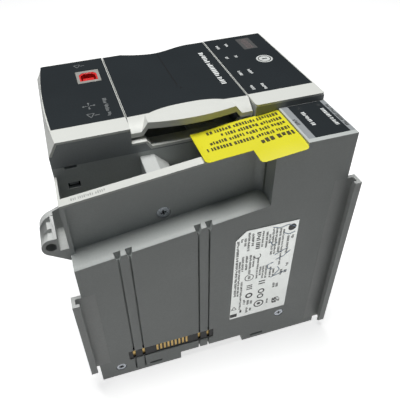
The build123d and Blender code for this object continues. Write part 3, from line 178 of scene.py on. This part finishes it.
HOUSING = finish_of("housing_grey", (0.50, 0.525, 0.515), 0.50, wear=0.12, bump=0.2)
FRONT_GREY = finish_of("front_grey", (0.27, 0.29, 0.30), 0.48, wear=0.10, bump=0.2)
PALE = finish_of("trim_pale", (0.665, 0.675, 0.645), 0.45, spread=0.025, wear=0.05, bump=0.12)
OVERLAY = finish_of("overlay_film", (0.020, 0.0245, 0.028), 0.5, grain=2200, bump=0.2, spread=0.10,
                    specular=0.12)
STRIP = finish_of("strip_film", (0.30, 0.32, 0.335), 0.40, spread=0.05, grain=2600)
BADGE = finish_of("badge_film", (0.62, 0.64, 0.63), 0.40, spread=0.03)
YELLOW = finish_of("sticker_film", (0.72, 0.67, 0.022), 0.38, spread=0.03, bump=0.05, cloud=60)
PLATE = finish_of("nameplate_film", (0.80, 0.82, 0.80), 0.36, grain=260, spread=0.03, bump=0.02,
                  metallic=0.7)
# rail_grey: the housing's own grey made paler, a painted highlight standing for the brightly lit tops of
# the rails
RAIL_GREY_WITH_HIGHLIGHT = finish_of("rail_grey", (0.56, 0.575, 0.565), 0.46, wear=0.10, bump=0.2)
SMOKE = finish_of("window_smoke", (0.10, 0.10, 0.10), 0.15, bump=0.02, coat=0.5, specular=0.3)
CLEAR = finish_of("light_clear", (0.040, 0.044, 0.046), 0.25, bump=0.02, coat=0.3, specular=0.3)
METAL = finish_of("port_metal", (0.66, 0.65, 0.61), 0.34, metallic=0.6, stretch=(1, 1, 8), grain=900)
RED = finish_of("port_red", (0.70, 0.03, 0.03), 0.30, spread=0.08, bump=0.05, coat=0.2)
GOLD = finish_of("contact_gold", (0.95, 0.64, 0.20), 0.36, metallic=0.45, stretch=(8, 1, 1), grain=900)
BLACK = finish_of("connector_black", (0.012, 0.012, 0.013), 0.45, spread=0.1, specular=0.3)
STEEL = finish_of("screw_steel", (0.45, 0.48, 0.52), 0.30, metallic=0.8, spread=0.1, grain=1800)
BOARD = finish_of("board_green", (0.012, 0.085, 0.03), 0.35, spread=0.15, coat=0.3)
ALUMINIUM = finish_of("cooling_aluminium", (0.60, 0.60, 0.61), 0.35, metallic=0.9, stretch=(1, 1, 10),
                      grain=700)
SLEEVE = finish_of("capacitor_sleeve", (0.02, 0.022, 0.05), 0.25, coat=0.3)
FERRITE = finish_of("core_ferrite", (0.05, 0.045, 0.04), 0.6, spread=0.15)
BUTTON = finish_of("button_pale", (0.42, 0.43, 0.42), 0.4)
CARD = finish_of("card_blue", (0.02, 0.04, 0.10), 0.35, coat=0.2)
INK_WHITE = finish_of("ink_white", (0.74, 0.76, 0.76), 0.5, spread=0.05)
INK_GREY = finish_of("ink_grey", (0.17, 0.18, 0.185), 0.5, spread=0.05)
INK_DARK = finish_of("ink_dark", (0.035, 0.035, 0.036), 0.5, spread=0.1)
INK_BLUE = finish_of("ink_blue", (0.45, 0.62, 0.88), 0.5, spread=0.1)
INK_BROWN = finish_of("ink_brown", (0.06, 0.05, 0.01), 0.5, spread=0.1)
INK_ROSE = finish_of("ink_rose", (0.20, 0.15, 0.15), 0.4, spread=0.1)
INK_FAINT = finish_of("ink_faint", (0.36, 0.37, 0.36), 0.5, spread=0.05)


# ---- mesh helpers ------------------------------------------------------------------------
WELD = 2e-6  # vertices this near each other are one, m
FLAT_ANGLE, SHARP_ANGLE = radians(0.4), radians(38)
SHORTEST_EDGE = 2.5  # of the edges that are rounded, as a share of the rounding
BEVEL_PROFILE = 0.6


def to_object(name, bm, material, body, slot, sharp=35):
    """Turns a bmesh into a smooth-shaded piece that rides on a body."""
    bmesh.ops.recalc_face_normals(bm, faces=bm.faces)
    mesh = bpy.data.meshes.new(name)
    bm.to_mesh(mesh)
    bm.free()
    mesh.materials.append(material)
    for polygon in mesh.polygons:
        polygon.use_smooth = True
    mesh.set_sharp_from_angle(angle=radians(sharp))
    piece = bpy.data.objects.new(name, mesh)
    bpy.context.scene.collection.objects.link(piece)
    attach(piece, body)
    return piece


def node_bmesh(node, weld=True):
    """bmesh of a CAD node."""
    bm = bmesh.new()
    bm.from_mesh(frame["nodes"][node].data)
    if weld:
        bmesh.ops.remove_doubles(bm, verts=bm.verts, dist=WELD)
    return bm


def rounded_copy(node, width):
    """bmesh of a CAD node with its coplanar faces joined and its sharp edges rounded."""
    bm = node_bmesh(node)
    bmesh.ops.dissolve_limit(bm, angle_limit=FLAT_ANGLE, verts=bm.verts, edges=bm.edges)
    sharp = [
        e for e in bm.edges
        if e.is_manifold and abs(e.calc_face_angle(0)) > SHARP_ANGLE
        and e.calc_length() > SHORTEST_EDGE * width
    ]
    bmesh.ops.bevel(bm, geom=sharp, offset=width, segments=2, profile=BEVEL_PROFILE, affect="EDGES",
                    clamp_overlap=True)
    return bm


def dress(node, material, slot, width=0.0):
    """Gives a CAD node its finish; with a width, a copy with rounded edges stands for it."""
    source = frame["nodes"][node]
    if not width:
        source.data.materials.clear()
        source.data.materials.append(material)
        return
    copy = rounded_copy(node, width * MM)
    piece = to_object(node + "_shell", copy, material, source["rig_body"], slot)
    weighted = piece.modifiers.new("even_shading", "WEIGHTED_NORMAL")
    weighted.keep_sharp = True
    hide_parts(node)


SLOT_FINISH = {
    "housing_grey": HOUSING, "front_grey": FRONT_GREY, "trim_pale": PALE, "overlay_film": OVERLAY,
    "strip_film": STRIP, "badge_film": BADGE, "sticker_film": YELLOW, "nameplate_film": PLATE,
    "rail_grey": RAIL_GREY_WITH_HIGHLIGHT, "window_smoke": SMOKE, "light_clear": CLEAR, "port_metal": METAL,
    "port_red": RED, "contact_gold": GOLD, "connector_black": BLACK, "screw_steel": STEEL,
    "board_green": BOARD, "cooling_aluminium": ALUMINIUM, "capacitor_sleeve": SLEEVE,
    "core_ferrite": FERRITE, "button_pale": BUTTON, "card_blue": CARD,
}
ROUNDING = {  # mm
    "rear_base": 0.25, "main_housing": 0.25, "expansion_side_cover": 0.25, "bay_rim": 0.2,
    "bay_divider": 0.3, "upper_interlock_rail": 0.25, "lower_interlock_rail": 0.25, "plug_hook": 0.25,
    "front_housing": 0.25, "bezel_lower": 0.25, "bezel_upper": 0.25, "door": 0.3, "finger_scoop": 0.2,
    "control_panel": 0.2, "power_front": 0.2, "energy_module": 0.3, "sd_card": 0.2,
    "sa_power_header": 0.2, "mod_power_header": 0.2, "upper_din_latch": 0.25, "lower_din_latch": 0.25,
    "case_screws": 0.12, "usb_shell": 0.12, "usb_insert": 0.12, "bus_connector": 0.12,
    "ethernet_jacks": 0.15,
}
NODE_SLOT = {part["node"]: part["material_slot"] for part in frame["record"]["subparts"]}
FRONT_FILMS = ("bezel_lower_label", "bezel_upper_label", "door_label", "round_badge")
FILM_DROP = 0.06  # the front films sit this far below the bezel's face, mm
FILM_TOP_BAND = 0.02  # vertices this near the bezel's face belong to a film's top, mm


def dress_nodes():
    """Finish for every CAD node but the front films and the sticker, which have their own meshes."""
    for node, slot in NODE_SLOT.items():
        if node not in FRONT_FILMS and node != "caution_sticker":
            dress(node, SLOT_FINISH[slot], slot, ROUNDING.get(node, 0.0))


def lower_front_films():
    """Copies of the front films, their tops a little below the bezel's face."""
    for node in FRONT_FILMS:
        slot = NODE_SLOT[node]
        film = node_bmesh(node, weld=False)
        for vert in film.verts:
            if vert.co.z > (FRONT - FILM_TOP_BAND) * MM:
                vert.co.z -= FILM_DROP * MM
        piece = to_object(node + "_film", film, SLOT_FINISH[slot], frame["nodes"][node]["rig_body"], slot)
        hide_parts(node)


# ---- printed marks: plain strokes, dots and rings, no lettering ---------------------------
INK = 0.03  # thickness of a printed mark, mm
STROKE_GAP = 0.24  # between the strokes of a row, as a share of its height
GROUP_GAP = 0.35  # between groups of strokes, on top of that
SHORT_STROKE = 0.74
STROKES_IN_GROUP = (4, 8)
STROKE_WIDTHS = (0.7, 1.5)  # smallest and largest, as shares of height x weight
ROW_END = 0.15  # a row ends this near its end, as a share of its height
TOWARDS_FRONT = (0, 0, 1)
TOWARDS_COUPLING = (0, -1, 0)


class Print:
    """Marks on a surface; place(u, v) gives a point in mm, and u runs along the rows."""

    def __init__(self, place, normal):
        self.bm = bmesh.new()
        self.place = place
        self.normal = Vector(normal)

    def patch(self, outline):
        """Thin closed plate with the given outline of (u, v) points."""
        foot = [self.bm.verts.new(Vector(self.place(u, v)) * MM) for u, v in outline]
        lift = self.normal * INK * MM
        top = [self.bm.verts.new(vert.co + lift) for vert in foot]
        self.bm.faces.new(top)
        self.bm.faces.new(list(reversed(foot)))
        for index in range(len(foot)):
            after = (index + 1) % len(foot)
            self.bm.faces.new((foot[index], foot[after], top[after], top[index]))

    def bar(self, u, v, width, height):
        """Upright stroke centred on (u, v)."""
        w, h = width / 2, height / 2
        self.patch([(u - w, v - h), (u + w, v - h), (u + w, v + h), (u - w, v + h)])

    def row(self, u_from, u_to, v, height, weight=0.34):
        """Row of strokes of mixed widths and heights, broken into groups like words."""
        u = u_from
        step = 1 if u_to > u_from else -1
        left_in_group = rng.randint(*STROKES_IN_GROUP)
        while (u_to - u) * step > ROW_END * height:
            width = height * rng.uniform(*STROKE_WIDTHS) * weight
            tall = height * rng.choice((1.0, 1.0, SHORT_STROKE))
            middle = v + (height - tall) * rng.choice((-0.5, 0.5))
            self.bar(u + step * width / 2, middle, width, tall)
            u += step * (width + height * STROKE_GAP)
            left_in_group -= 1
            if left_in_group == 0:
                u += step * height * GROUP_GAP
                left_in_group = rng.randint(*STROKES_IN_GROUP)

    def ring(self, u, v, outer, inner, start=0.0, sweep=2 * pi):
        """Ring, or part of one, as short plates."""
        count = max(6, int(16 * sweep / (2 * pi)))
        for index in range(count):
            a, b = start + sweep * index / count, start + sweep * (index + 1) / count
            self.patch([
                (u + outer * cos(a), v + outer * sin(a)), (u + outer * cos(b), v + outer * sin(b)),
                (u + inner * cos(b), v + inner * sin(b)), (u + inner * cos(a), v + inner * sin(a)),
            ])

    def disc(self, u, v, radius, count=20):
        turns = [2 * pi * k / count for k in range(count)]
        self.patch([(u + radius * cos(a), v + radius * sin(a)) for a in turns])

    def stroke(self, points, width):
        """Pen line through (u, v) points, one plate per span."""
        for (ua, va), (ub, vb) in zip(points, points[1:]):
            along = Vector((ub - ua, vb - va)).normalized()
            side = Vector((-along.y, along.x)) * width / 2
            self.patch([(ua - side.x, va - side.y), (ub - side.x, vb - side.y),
                        (ub + side.x, vb + side.y), (ua + side.x, va + side.y)])

    def done(self, name, material, body, slot):
        return to_object(name, self.bm, material, body, slot)


def flat_print(z):
    """Print on a face that looks to the front at height z; u is y and v is x, and rows run along -Y."""
    return Print(lambda y, x: (x, y, z), TOWARDS_FRONT)


def front_print():
    return flat_print(FRONT - FILM_DROP)


# ---- door, bezels and badge --------------------------------------------------------------
FOLD_LINE = ((42.9, 1.2), (25.0, 1.4), (7.6, 1.7))  # y, x
FOLD_DOTS = ((5.0, 2.6, 0.45), (6.2, 1.1, 0.35))  # y, x, radius
STATUS_WORDS = (  # y of the middle, x, length
    (38.9, 32.8, 4.2), (40.2, 38.0, 3.0), (26.0, 32.9, 2.0), (25.9, 37.7, 2.0),
    (8.2, 32.8, 5.0), (8.5, 37.9, 4.6), (-6.7, 32.7, 5.0), (-6.5, 38.0, 4.6),
)
DIGITS, DIGIT_PITCH, DIGIT_INSET = 4, 2.9, 2.4
SEGMENT_OUT, SEGMENT_WIDTH, SEGMENT_LENGTH = 0.75, 0.45, 3.6


def door_marks():
    """Title and fold line, which turn with the door."""
    title = front_print()
    title.row(36.3, 0.9, 22.3, 2.3, weight=0.46)
    title.done("door_title_marks", INK_WHITE, "door", "badge_film")
    fold = front_print()
    fold.stroke(FOLD_LINE, 0.45)
    for dot in FOLD_DOTS:
        fold.disc(*dot)
    fold.done("door_fold_marks", BLACK, "door", "connector_black")


def status_marks():
    """Words beside the light pipes."""
    status = front_print()
    for y, x, length in STATUS_WORDS:
        status.row(y + length / 2, y - length / 2, x, 1.35)
    status.done("status_marks", INK_WHITE, "housing", "badge_film")


def display_segments():
    """Unlit segments on the display window, two strokes for a digit."""
    low, high = box_mm("display_window")
    middle_x = (low.x + high.x) / 2
    segments = flat_print(high.z)
    for digit in range(DIGITS):
        digit_y = high.y - DIGIT_INSET - DIGIT_PITCH * digit
        for side in (-SEGMENT_OUT, SEGMENT_OUT):
            segments.bar(digit_y + side, middle_x, SEGMENT_WIDTH, SEGMENT_LENGTH)
    segments.done("display_segments", INK_ROSE, "housing", "window_smoke")


def port_marks():
    """A row of strokes, two triangles with a bar, and four arms that end in dots."""
    port = front_print()
    port.row(7.3, -8.1, -32.2, 1.7)
    half = 1.6
    for y, x in ((43.1, -39.6), (-5.7, -39.9)):
        corners = [(y + half, x - half), (y - half, x), (y + half, x + half)]
        port.stroke([*corners, corners[0]], 0.35)
        port.bar(y, x + 2.6, 0.4, 2.2)
    hub_y, hub_x = 2.7, -39.6
    for turn in range(4):
        c, s = cos(turn * pi / 2), sin(turn * pi / 2)
        port.stroke([(hub_y + reach * c, hub_x + reach * s) for reach in (0.5, 2.0)], 0.35)
        port.disc(hub_y + 2.3 * c, hub_x + 2.3 * s, 0.5)
    port.done("port_marks", INK_GREY, "housing", "strip_film")


TONGUE = (5.4, 3.1, 6.0)
TONGUE_DROP = 4.2  # its middle below the insert's front
TONGUE_SHIFT = -0.3  # its middle from the insert's middle along Y
TONGUE_ROUNDING = 0.35


def usb_tongue():
    """Front end of the port's contact tongue."""
    low, high = box_mm("usb_insert")
    at = Vector(((low.x + high.x) / 2, (low.y + high.y) / 2 + TONGUE_SHIFT, high.z - TONGUE_DROP))
    size = Matrix.Diagonal((*(side * MM for side in TONGUE), 1.0))
    tongue = bmesh.new()
    bmesh.ops.create_cube(tongue, size=1.0, matrix=Matrix.Translation(at * MM) @ size)
    bmesh.ops.bevel(tongue, geom=tongue.edges[:], offset=TONGUE_ROUNDING * MM, segments=2,
                    profile=BEVEL_PROFILE, affect="EDGES")
    to_object("usb_tongue", tongue, RED, "housing", "port_red")


def badge_marks():
    """A plain ring with a stroke."""
    badge = front_print()
    middle = (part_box("round_badge")[0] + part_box("round_badge")[1]) / 2 / MM
    badge.ring(middle.y, middle.x, 3.3, 2.8)
    badge.bar(middle.y, middle.x, 0.9, 2.6)
    badge.done("badge_marks", INK_DARK, "housing", "connector_black")


# ---- power section and bay rim -----------------------------------------------------------
POWER_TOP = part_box("power_label")[1].z / MM
RIM_LOW, RIM_HIGH = box_mm("bay_rim")
RIM_RISE = 0.112  # of the rim's top, per mm of X
RIM_INNER_Y = -36.2


def power_marks():
    """White rows on the dark overlay, dark rows on the silver strips."""
    power = flat_print(POWER_TOP)
    power.row(-28.0, -38.9, 46.2, 1.6, weight=0.36)
    power.row(-27.8, -41.5, 55.4, 1.6, weight=0.36)
    power.done("power_marks", INK_WHITE, "housing", "badge_film")
    legend = flat_print(POWER_TOP)
    legend.row(-32.0, -37.0, 40.4, 1.6, weight=0.3)
    legend.row(-25.6, -43.4, 58.8, 1.4)
    legend.done("legend_marks", INK_DARK, "housing", "connector_black")


def rim_top(x):
    return RIM_HIGH.z - RIM_RISE * (RIM_HIGH.x - x)


def rim_marks():
    """Faint row on the rim's slanted top."""
    rim = Print(lambda x, y: (x, y, rim_top(x)), TOWARDS_FRONT)
    rim.row(-41.5, -55.5, (RIM_LOW.y + RIM_INNER_Y) / 2, 1.5, weight=0.3)
    rim.done("rim_marks", INK_FAINT, "housing", "rail_grey")


# ---- painted shade of the screw recesses -------------------------------------------------
CROSS_REACH, CROSS_WIDTH = 1.25, 0.55


def island_boxes(bm):
    """Low and high corner, in mm, of each connected part; the parts are used up on the way."""
    while bm.verts:
        bm.verts.ensure_lookup_table()
        island, waiting = set(), [bm.verts[0]]
        while waiting:
            vert = waiting.pop()
            if vert not in island:
                island.add(vert)
                waiting.extend(e.other_vert(vert) for e in vert.link_edges)
        low = Vector([min(v.co[k] for v in island) for k in range(3)]) / MM
        high = Vector([max(v.co[k] for v in island) for k in range(3)]) / MM
        bmesh.ops.delete(bm, geom=list(island), context="VERTS")
        yield low, high


def paint_screw_recess_shade():
    """A dark cross on each screw head, painted shade standing for its recess, every one turned a little
    further.
    """
    screws = node_bmesh("case_screws")
    for index, (low, high) in enumerate(island_boxes(screws)):
        x, y, z = (low.x + high.x) / 2, low.y, (low.z + high.z) / 2
        turn = radians(20 + 35 * index)
        # painted shade: a flat black cross on the head stands for the dark inside of the screw's recess
        recess_shade = Print(lambda u, v: (x + u, y, z + v), TOWARDS_COUPLING)
        for a in (turn, turn + pi / 2):
            reach = Vector((cos(a), sin(a))) * CROSS_REACH
            recess_shade.stroke([(-reach.x, -reach.y), (reach.x, reach.y)], CROSS_WIDTH)
        recess_shade.done(f"screw_recess_shade_{index + 1}", BLACK, "housing", "connector_black")
    screws.free()


# ---- nameplate ---------------------------------------------------------------------------
PLATE_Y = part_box("nameplate")[0].y / MM
PLATE_ROWS = (  # x, upper z, lower z, height of the row, all in mm
    (11.2, 81, 41, 1.2), (12.7, 67, 41, 1.0), (14.4, 52, 30, 1.0), (13.0, 82, 80, 1.1),
    (14.6, 82, 77, 1.1), (14.1, 70, 60, 1.1), (16.3, 85, 73, 1.1), (16.0, 70, 60, 1.1),
    (18.2, 84, 76, 1.1), (17.9, 70, 57, 1.1), (20.9, 84, 72, 2.0), (19.5, 69, 61, 0.9),
    (23.0, 84, 74, 0.9), (25.0, 83, 73, 1.0), (26.5, 81, 75, 1.0), (28.0, 84, 67, 1.1),
    (29.6, 84, 67, 1.1), (31.5, 83, 67, 1.1), (33.1, 82, 58, 0.9), (35.8, 77, 66, 1.2),
    (37.9, 77, 75, 1.2), (21.9, 67, 52, 0.9), (23.5, 60, 54, 1.0), (25.0, 60, 51, 1.0),
    (26.6, 60, 51, 1.0), (28.9, 58, 50, 1.0), (30.6, 56, 51, 1.0), (34.9, 54, 50, 1.3),
    (37.5, 58, 56, 1.4), (37.1, 53, 51, 1.4), (31.9, 45, 41, 1.3), (33.7, 44, 41, 1.3),
    (20.4, 35, 32, 1.2), (18.6, 36, 32, 1.2), (16.6, 37, 33, 1.2), (18.4, 30, 26, 1.3),
    (20.4, 29, 27, 1.3), (29.4, 33, 29, 0.9),
)
PEN_LINES = (  # z, x
    [(85, 27.5), (83.5, 31), (84.5, 35), (82, 39)],
    [(80, 33), (78, 36), (79, 38.8)],
    [(76, 27), (73, 28.5), (74.5, 30.5)],
    [(69, 36.5), (67.5, 33), (66, 30)],
    [(67, 38), (64, 35), (62.5, 31)],
    [(61, 30), (60, 27), (57.5, 27.2), (56, 30)],
    [(57, 32.5), (54.5, 33.8), (51, 31)],
    [(52.5, 38), (51.5, 34), (50, 29.5)],
)
CODE_Z, CODE_X = 28.2, 32.4  # first cell of the square of random cells
CODE_CELLS, CODE_PITCH, CODE_CELL, CODE_FILL = 8, 0.56, 0.5, 0.62


def plate_symbols(plate):
    """Plain discs, rings, bars and a triangle between the rows; u is z and v is x."""
    plate.disc(82.3, 37.0, 2.0)
    plate.ring(30.9, 24.8, 2.8, 2.1)
    plate.disc(30.9, 24.8, 1.0)
    plate.ring(53.9, 18.1, 2.4, 2.0)
    plate.row(55.0, 52.8, 18.1, 1.3)
    plate.ring(39.8, 18.9, 2.0, 1.1)
    for z, x in ((41.0, 25.4), (37.0, 25.2)):
        plate.ring(z, x, 1.8, 1.1)
    for z in (48.8, 47.0):
        plate.bar(z, 25.2, 0.7, 3.4)
    for z in (47.8, 46.4, 45.0):
        plate.bar(z, 18.7, 0.6, 3.0)
    plate.ring(68.2, 21.4, 1.7, 1.3, start=0.6, sweep=4.2)
    plate.bar(25.8, 11.3, 2.6, 3.6)
    plate.bar(28.2, 15.0, 2.2, 1.0)
    plate.stroke([(33.2, 11.2), (30.8, 9.9), (30.8, 12.6), (33.2, 11.2)], 0.35)


def nameplate_marks():
    """Rows of strokes, symbols and a square of random cells."""
    plate = Print(lambda z, x: (x, PLATE_Y, z), TOWARDS_COUPLING)
    for x, upper, lower, height in PLATE_ROWS:
        plate.row(upper, lower, x, height)
    plate_symbols(plate)
    for column in range(CODE_CELLS):
        for line in range(CODE_CELLS):
            if rng.random() < CODE_FILL:
                z, x = CODE_Z + CODE_PITCH * line, CODE_X + CODE_PITCH * column
                plate.bar(z, x, CODE_CELL, CODE_CELL)
    plate.done("nameplate_marks", INK_DARK, "housing", "connector_black")


def pen_marks():
    """Loose blue pen lines over the print."""
    pen = Print(lambda z, x: (x, PLATE_Y - INK, z), TOWARDS_COUPLING)
    for points in PEN_LINES:
        pen.stroke(points, 0.42)
    pen.done("nameplate_pen_marks", INK_BLUE, "housing", "overlay_film")


# ---- yellow sticker, lying loosely over the rim -------------------------------------------
STICKER_LOW, STICKER_HIGH = box_mm("caution_sticker")
STICKER_LIFT = 0.75  # above the rim, mm
STICKER_X = (-1.7, STICKER_HIGH.x)
STICKER_Y = (-42.5, STICKER_HIGH.y + 0.6)
TAB_X, TAB_Y = 18.0, STICKER_LOW.y - 0.4  # where the tab starts and how far it reaches
THICK = 0.15
DROOP_FROM_Y, DROOP = -43.5, 0.011
CURL_REACH, CURL = 3.0, 0.06
WAVE = 0.18
WAVE_X, WAVE_Y = (4, 0.22), (50, 0.16)  # offset in mm, radians per mm
CELLS_BEFORE_TAB, CELLS_ALONG_TAB = 26, 28  # along X
CELLS_OF_TAB, CELLS_OF_BODY = 14, 28  # along Y
NUDGE = 1e-6
STICKER_CORNERS = (  # x, y, rounding radius; the third is the inner corner beside the tab
    (STICKER_X[0], STICKER_Y[1], 0.8), (STICKER_X[0], STICKER_Y[0], 1.6), (TAB_X, STICKER_Y[0], 0.0),
    (TAB_X, TAB_Y, 1.8), (STICKER_X[1], TAB_Y, 1.8), (STICKER_X[1], STICKER_Y[1], 0.8),
)


def sticker_z(x, y):
    """Height of the sticker: off the rim, with a soft wave, a curled end and a drooping tab."""
    droop = max(0.0, DROOP_FROM_Y - y)
    curl = max(0.0, CURL_REACH - (x - STICKER_X[0])) ** 2 * CURL
    wave = WAVE * sin((x + WAVE_X[0]) * WAVE_X[1]) * sin((y + WAVE_Y[0]) * WAVE_Y[1])
    return rim_top(x) + STICKER_LIFT + wave + curl - DROOP * droop ** 2


def inside_sticker(x, y):
    return STICKER_Y[0] <= y or x >= TAB_X


def round_to_corner(x, y):
    """Moves a grid point in the square of a rounded corner onto or inside its arc."""
    for cx, cy, radius in STICKER_CORNERS:
        mx = cx + radius if cx <= TAB_X else cx - radius
        my = cy - radius if cy == STICKER_Y[1] else cy + radius
        if (x - mx) * (cx - mx) > 0 and (y - my) * (cy - my) > 0:
            reach = Vector((x - mx, y - my))
            largest = max(abs(reach.x), abs(reach.y))
            reach = reach.normalized() * largest
            return mx + reach.x, my + reach.y
    return x, y


def steps(low, high, count):
    return [low + (high - low) * index / count for index in range(count + 1)]


def sticker_sheet():
    """Thin waved sheet on a grid whose lines pass through the inner corner."""
    grid_x = steps(STICKER_X[0], TAB_X, CELLS_BEFORE_TAB)[:-1] + steps(TAB_X, STICKER_X[1], CELLS_ALONG_TAB)
    grid_y = steps(TAB_Y, STICKER_Y[0], CELLS_OF_TAB)[:-1] + steps(*STICKER_Y, CELLS_OF_BODY)
    sheet = bmesh.new()
    points = {}
    for i, x in enumerate(grid_x):
        for j, y in enumerate(grid_y):
            if inside_sticker(x + NUDGE, y + NUDGE):
                px, py = round_to_corner(x, y)
                points[i, j] = sheet.verts.new(Vector((px, py, sticker_z(px, py))) * MM)
    for i in range(len(grid_x) - 1):
        for j in range(len(grid_y) - 1):
            cell = ((i, j), (i + 1, j), (i + 1, j + 1), (i, j + 1))
            corners = [points.get(key) for key in cell]
            if all(corners):
                sheet.faces.new(corners)
    bmesh.ops.recalc_face_normals(sheet, faces=sheet.faces)
    bmesh.ops.solidify(sheet, geom=sheet.faces[:], thickness=THICK * MM)
    sticker = to_object("caution_sticker_film", sheet, YELLOW, "housing", "sticker_film")
    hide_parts("caution_sticker")


def sticker_marks():
    """One large row beside the tab and four smaller ones."""
    note = Print(lambda x, y: (x, y, sticker_z(x, y) + THICK), TOWARDS_FRONT)
    note.row(36.9, 22.4, -38.9, 2.6, weight=0.42)
    for left, y in ((1.0, -35.0), (2.8, -31.2), (9.7, -27.5), (5.0, -23.8)):
        note.row(36.7, left, y, 2.0)
    note.done("sticker_marks", INK_BROWN, "housing", "connector_black")


# ---- floor, light and camera -------------------------------------------------------------
FLOOR_HALF = 3.0  # m
FLOOR_GLOW = 0.66
SKY_BELOW, SKY_ABOVE = (0.42, 0.41, 0.375, 1), (0.055, 0.062, 0.070, 1)
SKY_BETWEEN = (  # place between straight down (0) and straight up (1), colour
    (0.26, (0.36, 0.36, 0.345, 1)), (0.44, (0.12, 0.13, 0.13, 1)), (0.56, (0.07, 0.078, 0.088, 1)),
)
SKY_STRENGTH = 0.62
LAMP_AT, LAMP_AIM = Vector((-30, 60, 760)), Vector((0, 0, 70))  # mm
LAMP_SIZE, LAMP_POWER, LAMP_COLOR = 0.34, 5.1, (1.0, 1.0, 0.985)  # m, W
CAMERA_AT = Vector((-50.07, -180.96, 233.42))  # mm
AZIMUTH, ELEVATION, ROLL = radians(-14.33), radians(40.67), radians(-2.90)
FOCAL_LENGTH, SENSOR = 42.51, 36.0  # mm
SHIFT_X, SHIFT_Y = 0.0624, -0.0157

scene = bpy.context.scene
scene.view_settings.view_transform = "Standard"


def make_floor():
    """Wide pale floor that glows a little, so that it stays near white."""
    mesh = bpy.data.meshes.new("floor")
    corners = [(x * FLOOR_HALF, y * FLOOR_HALF, 0) for x, y in ((-1, -1), (1, -1), (1, 1), (-1, 1))]
    mesh.from_pydata(corners, [], [(0, 1, 2, 3)])
    floor = bpy.data.objects.new("floor", mesh)
    scene.collection.objects.link(floor)
    finish = finish_of("floor_white", (0.80, 0.80, 0.80), 0.7, spread=0.005, bump=0.0)
    shader = next(n for n in finish.node_tree.nodes if n.type == "BSDF_PRINCIPLED")
    shader.inputs["Emission Color"].default_value = (1, 1, 1, 1)
    shader.inputs["Emission Strength"].default_value = FLOOR_GLOW
    mesh.materials.append(finish)
    floor.visible_diffuse = False


def make_world():
    """Light that is warm and strong from below, dim from above, and plain white to the camera."""
    world = bpy.data.worlds.new("studio")
    scene.world = world
    world.use_nodes = True
    tree = world.node_tree
    tree.nodes.clear()
    out = tree.nodes.new("ShaderNodeOutputWorld")
    coords = tree.nodes.new("ShaderNodeTexCoord")
    axis = tree.nodes.new("ShaderNodeSeparateXYZ")
    sky = tree.nodes.new("ShaderNodeValToRGB")
    light = tree.nodes.new("ShaderNodeBackground")
    white = tree.nodes.new("ShaderNodeBackground")
    path = tree.nodes.new("ShaderNodeLightPath")
    choice = tree.nodes.new("ShaderNodeMixShader")
    tree.links.new(coords.outputs["Generated"], axis.inputs[0])
    tree.links.new(ramp(tree, axis.outputs["Z"], -1, 1, 0, 1), sky.inputs["Fac"])
    sky.color_ramp.elements[0].color = SKY_BELOW
    sky.color_ramp.elements[1].color = SKY_ABOVE
    for place, color in SKY_BETWEEN:
        sky.color_ramp.elements.new(place).color = color
    tree.links.new(sky.outputs["Color"], light.inputs["Color"])
    light.inputs["Strength"].default_value = SKY_STRENGTH
    white.inputs["Color"].default_value = (1, 1, 1, 1)
    tree.links.new(path.outputs["Is Camera Ray"], choice.inputs["Fac"])
    tree.links.new(light.outputs[0], choice.inputs[1])
    tree.links.new(white.outputs[0], choice.inputs[2])
    tree.links.new(choice.outputs[0], out.inputs["Surface"])


def make_lamp():
    """Soft square light from above and slightly behind."""
    light = bpy.data.lights.new("top_box", "AREA")
    light.shape = "SQUARE"
    light.size = LAMP_SIZE
    light.energy = LAMP_POWER
    light.color = LAMP_COLOR
    lamp = bpy.data.objects.new("top_box", light)
    scene.collection.objects.link(lamp)
    lamp.location = LAMP_AT * MM
    lamp.rotation_euler = (LAMP_AT - LAMP_AIM).to_track_quat("Z", "Y").to_euler()


def make_camera():
    """Camera of the photo, from its azimuth, elevation and roll."""
    flat = cos(ELEVATION)
    back = Vector((sin(AZIMUTH) * flat, -cos(AZIMUTH) * flat, sin(ELEVATION)))
    level = Vector((0, 0, 1)).cross(back).normalized()
    rise = back.cross(level)
    right = cos(ROLL) * level + sin(ROLL) * rise
    up = cos(ROLL) * rise - sin(ROLL) * level
    lens = bpy.data.cameras.new("camera")
    lens.lens = FOCAL_LENGTH
    lens.sensor_width = SENSOR
    lens.shift_x = SHIFT_X
    lens.shift_y = SHIFT_Y
    lens.clip_start = 0.01
    camera = bpy.data.objects.new("camera", lens)
    scene.collection.objects.link(camera)
    axes = Matrix((right, up, back)).transposed().to_4x4()
    camera.matrix_world = Matrix.Translation(CAMERA_AT * MM) @ axes
    scene.camera = camera


# ---- the scene, in the order in which its random strokes are drawn ------------------------
dress_nodes()
lower_front_films()
door_marks()
status_marks()
display_segments()
port_marks()
usb_tongue()
badge_marks()
power_marks()
paint_screw_recess_shade()
rim_marks()
nameplate_marks()
pen_marks()
sticker_sheet()
sticker_marks()
make_floor()
make_world()
make_lamp()
make_camera()
